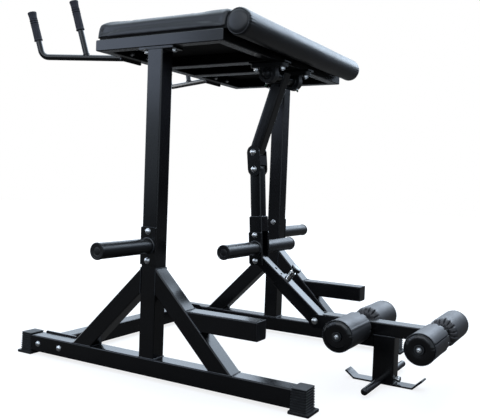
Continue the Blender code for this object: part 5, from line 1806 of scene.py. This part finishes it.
@dataclass
class Rollers:
    """Foam rollers in sewn vinyl covers.

    Attributes:
        low: Distance of the gathered end from the machine's middle.
        high: Distance of the sewn end.
        bore: Radius of the hole.
        sunk: How far the cover lies inside the roller's room.
        seam: Radius of the end's seam, as a share of the roller's.
        stitches: Number of stitches around an end.
        pleats: Number of gathers at the inner end.
        pleat_depth: Depth of a gather.
        pleat_reach: How far the gathers run up the roller.
    """

    low: float = 0.0364
    high: float = 0.2328
    bore: float = 0.0133
    sunk: float = 0.0004
    seam: float = 0.972
    stitches: int = 58
    pleats: int = 15
    pleat_depth: float = 0.0082
    pleat_reach: float = 0.046

    def build(self) -> None:
        """Build the four rollers."""
        for position, seed_x in zip(POSITIONS, (7.3, 1.9)):
            for side in Side:
                self.roller(side.node(f"roller_{position}"), side, Vector((seed_x, 3.1 * side.value, 0.4)))

    def roller(self, node: str, side: Side, seed: Vector) -> None:
        """One roller.

        Args:
            node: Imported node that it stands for, and its body.
            side: Side of the machine.
            seed: Offset that makes the roller its own.
        """
        box = Extent.of(node)
        radius = box.size.z / 2 - self.sunk
        place = at((box.centre.x, 0.0, box.centre.z), side.outward, Z)
        seam = radius * self.seam
        cover = form(ROLLER_VINYL)
        cover.lathe(self.side_profile(radius, seam), place, 132, ring=True,
                    warp=lambda p: self.gather(p, radius, seed))
        cover.use(END_VINYL).lathe(self.end_profile(radius, seam), place, 96, ring=True,
                                   warp=lambda p: self.pucker(p, seam))
        cover.sweep(ring_points(seam - 0.0002, 96, place, self.high - 0.0064), 0.0012, 10, closed=True)
        self.sew(cover, place, seam)
        cover.piece(f"vinyl_{node}", node, [node], 75.0)

    def side_profile(self, radius: float, seam: float) -> list[tuple[float, float]]:
        """Profile of the cover's side, from the seam over the gathered end into the hole.

        Args:
            radius: Radius of the roller.
            seam: Radius of the seam.

        Returns:
            The profile.
        """
        high, low, bore, steps = self.high, self.low, self.bore, 84
        body_top, body_low = high - 0.013, low + 0.024
        return [(seam - 0.0016, high - 0.0098), (seam - 0.0013, high - 0.0074), (seam, high - 0.0062),
                (seam + 0.0008, high - 0.0068), (seam + 0.0009, high - 0.0080),
                (radius - 0.0004, high - 0.0100),
                *((radius, body_top - (body_top - body_low) * i / steps) for i in range(steps + 1)),
                *((radius * (0.36 + 0.64 * math.cos(a) ** 0.55), body_low - 0.0228 * math.sin(a) ** 1.25)
                  for a in quarter(14)[1:]),
                (radius * 0.31, low + 0.0014), (bore, low + 0.0024), (bore, high - 0.0100)]

    def end_profile(self, radius: float, seam: float) -> list[tuple[float, float]]:
        """Profile of the domed end disc.

        Args:
            radius: Radius of the roller.
            seam: Radius of the seam.

        Returns:
            The profile.
        """
        high, hole = self.high, self.bore + 0.0002
        dome = ((0.34, -0.0014), (0.46, -0.0004), (0.58, 0.0002), (0.68, -0.0001), (0.76, -0.0010),
                (0.83, -0.0024), (0.89, -0.0042))
        return [(hole, high - 0.0016), *((radius * share, high + rise) for share, rise in dome),
                (seam - 0.0018, high - 0.0064), (seam - 0.0020, high - 0.0086), (hole, high - 0.0086)]

    def sew(self, cover: Form, place: Matrix, seam: float) -> None:
        """Short stitches over the seam of the end disc.

        Args:
            cover: Form that the stitches join.
            place: The roller's place.
            seam: Radius of the seam.
        """
        cover.use(THREAD)
        for i in range(self.stitches):
            out = spoke(2 * math.pi * (i + 0.3) / self.stitches)
            line = [place @ (out * (seam + reach) + Z * (self.high + rise))
                    for reach, rise in ((-0.0024, -0.0062), (0.0, -0.0048), (0.0022, -0.0068))]
            cover.sweep(line, [0.00035, 0.0005, 0.00035], 6)

    @staticmethod
    def pucker(point: Vector, seam: float) -> Vector:
        """Let the end disc pucker next to its seam.

        Args:
            point: Point of the disc.
            seam: Radius of the seam.

        Returns:
            The moved point.
        """
        distance, angle = polar(point)
        near = smooth_step(seam * 0.70, seam * 0.92, distance)
        near *= smooth_step(seam * 0.999, seam * 0.94, distance)
        return point + Z * 0.0004 * near * math.sin(angle * 17 + 3 * math.sin(angle * 3))

    def gather(self, point: Vector, radius: float, seed: Vector) -> Vector:
        """Gather the cover at its inner end and let it ripple elsewhere.

        Args:
            point: Point of the cover, the roller's length along Z.
            radius: Radius of the roller.
            seed: Offset that makes each roller its own.

        Returns:
            The moved point.
        """
        distance, angle = polar(point)
        if distance < self.bore + 0.001:
            return point
        wander = 0.55 * math.sin(angle * 2 + seed.x) + 0.4 * math.sin(angle * 5 + seed.y)
        crease = -(max(0.0, math.cos(angle * self.pleats + wander)) ** 5.0)
        uneven = 0.75 + 0.35 * math.sin(angle * 3 + seed.y) + 0.2 * math.sin(angle * 7 + seed.x)
        strength = smooth_step(self.low + self.pleat_reach * uneven, self.low + 0.010, point.z)
        rest = smooth_step(radius * 0.30, radius * 0.62, distance)
        fold = (self.pleat_depth * crease + 0.0010) * strength * rest
        sewn = smooth_step(self.high - 0.030, self.high - 0.004, point.z)
        pucker = 0.00035 * sewn * math.sin(angle * 46 + 3 * math.sin(angle * 2 + seed.x))
        soft = 0.0010 * noise.noise(spoke(angle) * 1.3 + Z * (point.z * 13) + seed)
        return point + spoke(angle) * ((fold + pucker + soft - 0.0006) * distance / radius)


# Studio


@dataclass(frozen=True)
class Softbox:
    """Soft rectangular lamp.

    Attributes:
        name: Name of the lamp.
        spot: Where it hangs.
        target: What it points at.
        size: Width and height.
        power: Power in watts.
        colour: Colour of the light.
    """

    name: str
    spot: Triple
    target: Triple
    size: tuple[float, float]
    power: float
    colour: Colour

    def hang(self) -> None:
        """Add the lamp to the scene."""
        data = bpy.data.lights.new(self.name, 'AREA')
        data.shape = 'RECTANGLE'
        data.size, data.size_y = self.size
        data.energy = self.power
        data.color = self.colour
        made = link_new(self.name, data)
        made.matrix_world = at(self.spot, Vector(self.spot) - Vector(self.target), Z)
        made.visible_camera = False


@dataclass
class Studio:
    """Camera, floor, world and soft lamps.

    Attributes:
        eye: Where the camera stands.
        yaw: Its turn from +Y, in degrees.
        pitch: Its tilt, in degrees.
        roll: Its roll, in degrees.
        lens: Focal length for a 36 mm sensor, in millimetres.
        floor_rings: Radius of each ring of the floor.
        floor_shine: Share of the floor's white that metal shows.
        lamps: The lamps.
    """

    eye: Triple = (1.22296, -2.19524, 0.6683)
    yaw: float = -30.2585
    pitch: float = -2.4965
    roll: float = 2.1408
    lens: float = 49.843
    floor_rings: tuple[float, ...] = (1.5, 4.0, 14.0)
    floor_shine: float = 0.03
    lamps: tuple[Softbox, ...] = (
        Softbox("overhead_softbox", (-0.6, 0.5, 3.4), (0.0, 0.1, 0.6), (4.4, 3.0), 78.0, (0.74, 0.87, 1.0)),
        Softbox("back_softbox", (-2.3, 4.6, 2.85), (-0.6, 0.0, 0.5), (8.2, 2.8), 128.0, (0.70, 0.83, 1.0)),
        Softbox("high_softbox", (1.6, 4.3, 3.55), (0.3, 0.0, 0.3), (3.2, 2.5), 88.0, (0.72, 0.85, 1.0)),
        Softbox("side_softbox", (-3.6, 0.4, 1.3), (0.0, 0.0, 0.6), (1.2, 2.0), 22.0, (0.95, 0.98, 1.0)),
        Softbox("front_fill", (-2.75, -2.9, 2.1), (0.0, 0.0, 0.8), (1.8, 1.6), 17.0, (0.64, 0.75, 1.0)),
        Softbox("front_softbox", (-0.3, -4.8, 2.7), (0.0, 0.0, 0.9), (3.8, 2.2), 48.0, (0.86, 0.92, 1.0)))

    def build(self) -> None:
        """Set up the whole studio."""
        bpy.context.scene.view_settings.view_transform = 'Standard'
        self.camera()
        self.floor()
        self.world()
        for lamp in self.lamps:
            lamp.hang()

    def camera(self) -> None:
        """Camera at the photograph's angle."""
        yaw, pitch, roll = (math.radians(a) for a in (self.yaw, self.pitch, self.roll))
        ahead = Vector((math.sin(yaw) * math.cos(pitch), math.cos(yaw) * math.cos(pitch), math.sin(pitch)))
        level = Vector((math.cos(yaw), -math.sin(yaw), 0.0))
        above = level.cross(ahead)
        right = level * math.cos(roll) + above * math.sin(roll)
        up = above * math.cos(roll) - level * math.sin(roll)
        data = bpy.data.cameras.new("camera")
        data.sensor_width = 36.0
        data.lens = self.lens
        data.dof.use_dof = False
        made = link_new("camera", data)
        turn = Matrix((right, up, -ahead)).transposed().to_4x4()
        made.matrix_world = Matrix.Translation(Vector(self.eye)) @ turn
        bpy.context.scene.camera = made

    def floor(self) -> None:
        """Pale floor that keeps the object's shadow."""
        work = Form()
        centre = at((0.0, 0.0, -0.0006))
        work.loft([[centre.translation], *(ring_points(r, 64, centre) for r in self.floor_rings)])
        lid = [face for face in work.work.faces if len(face.verts) > 4]
        bmesh.ops.delete(work.work, geom=lid, context='FACES_ONLY')
        mesh = bpy.data.meshes.new("floor")
        work.work.to_mesh(mesh)
        work.work.free()
        mesh.materials.append(self.floor_material())
        link_new("floor", mesh)

    def floor_material(self) -> bpy.types.Material:
        """Pale paper: white to the camera except in the object's shadow, a little of that white to metal."""
        made = bpy.data.materials.new("Pale studio floor")
        bench = Bench.on(made)
        path = bench.add('ShaderNodeLightPath').outputs
        seen = bench.math('MAXIMUM', path["Is Camera Ray"], path["Is Transmission Ray"])
        seen = bench.math('MAXIMUM', seen, bench.math('MULTIPLY', path["Is Glossy Ray"], self.floor_shine))
        cloud = bench.add('ShaderNodeTexNoise', {"Scale": 3.0, "Detail": 3.0}).outputs[0]
        tone = bench.blend(cloud, (0.060, 0.052, 0.045), (0.075, 0.066, 0.058))
        dark = bench.add('ShaderNodeBsdfDiffuse', {"Color": tone})
        pale = bench.add('ShaderNodeBsdfDiffuse', {"Color": (0.30, 0.30, 0.30, 1.0)})
        strength = bench.spread(bench.vector('LENGTH', {0: bench.where()}), 0.80, 1.0, 1.2, 3.2)
        glow = bench.add('ShaderNodeEmission', {"Color": (1, 1, 1, 1), "Strength": strength})
        lit = bench.add('ShaderNodeAddShader', {0: pale.outputs[0], 1: glow.outputs[0]})
        mixed = bench.add('ShaderNodeMixShader', {0: seen, 1: dark.outputs[0], 2: lit.outputs[0]})
        bench.add('ShaderNodeOutputMaterial', {0: mixed.outputs[0]})
        return made

    @staticmethod
    def world() -> None:
        """White to the camera and to glass; a soft studio, brighter in some directions, to the rest."""
        made = bpy.data.worlds.new("studio")
        bpy.context.scene.world = made
        bench = Bench.on(made)
        path = bench.add('ShaderNodeLightPath').outputs
        where = bench.add('ShaderNodeTexCoord').outputs["Generated"]
        height = bench.add('ShaderNodeSeparateXYZ', {0: where}).outputs["Z"]

        def towards(direction: Triple, most: float, start: float, end: float) -> Socket:
            """Brightness of the studio wall in a direction."""
            return bench.spread(bench.vector('DOT_PRODUCT', {0: where, 1: direction}), 0.0, most, start, end)

        back = towards((-0.42, 0.80, 0.43), 0.8, 0.55, 0.98)
        above = bench.spread(height, 0.0, 1.0, 0.30, 0.90)
        side = towards((0.75, -0.60, 0.28), 0.7, 0.30, 0.95)
        low = bench.math('MULTIPLY', towards((-0.92, -0.36, 0.15), 0.75, 0.76, 0.89),
                         bench.spread(height, 0.0, 1.0, -0.12, 0.08))
        bright = bench.math('MAXIMUM', bench.math('MAXIMUM', back, above), bench.math('MAXIMUM', side, low))
        rise = bench.spread(height, 0.0, 1.0, 0.0, 0.55)
        room = bench.blend(bright, bench.blend(rise, (0.020, 0.018, 0.020), (0.32, 0.38, 0.52)),
                           (0.66, 0.82, 1.0))
        shown = bench.blend(bench.math('MULTIPLY', path["Is Glossy Ray"], bright), room, (0.80, 0.90, 1.0))
        seen = bench.math('MAXIMUM', path["Is Camera Ray"], path["Is Transmission Ray"])
        colour = bench.blend(seen, shown, (1.0, 1.0, 1.0))
        sky = bench.add('ShaderNodeBackground', {"Color": colour, "Strength": 1.0})
        bench.add('ShaderNodeOutputWorld', {0: sky.outputs[0]})


def main() -> None:
    """Build every sub-assembly in order."""
    logging.basicConfig(level=logging.INFO, format="%(message)s")
    for assembly in (Studio(), WeldedFrame(), RubberFeet(), PlateHorns(), Handles(), Table(), Bearings(),
                     SwingArms(), LegSlide(), FootBar(), Rollers()):
        LOG.info("building %s", type(assembly).__name__)
        assembly.build()


if __name__ == "__main__":
    main()
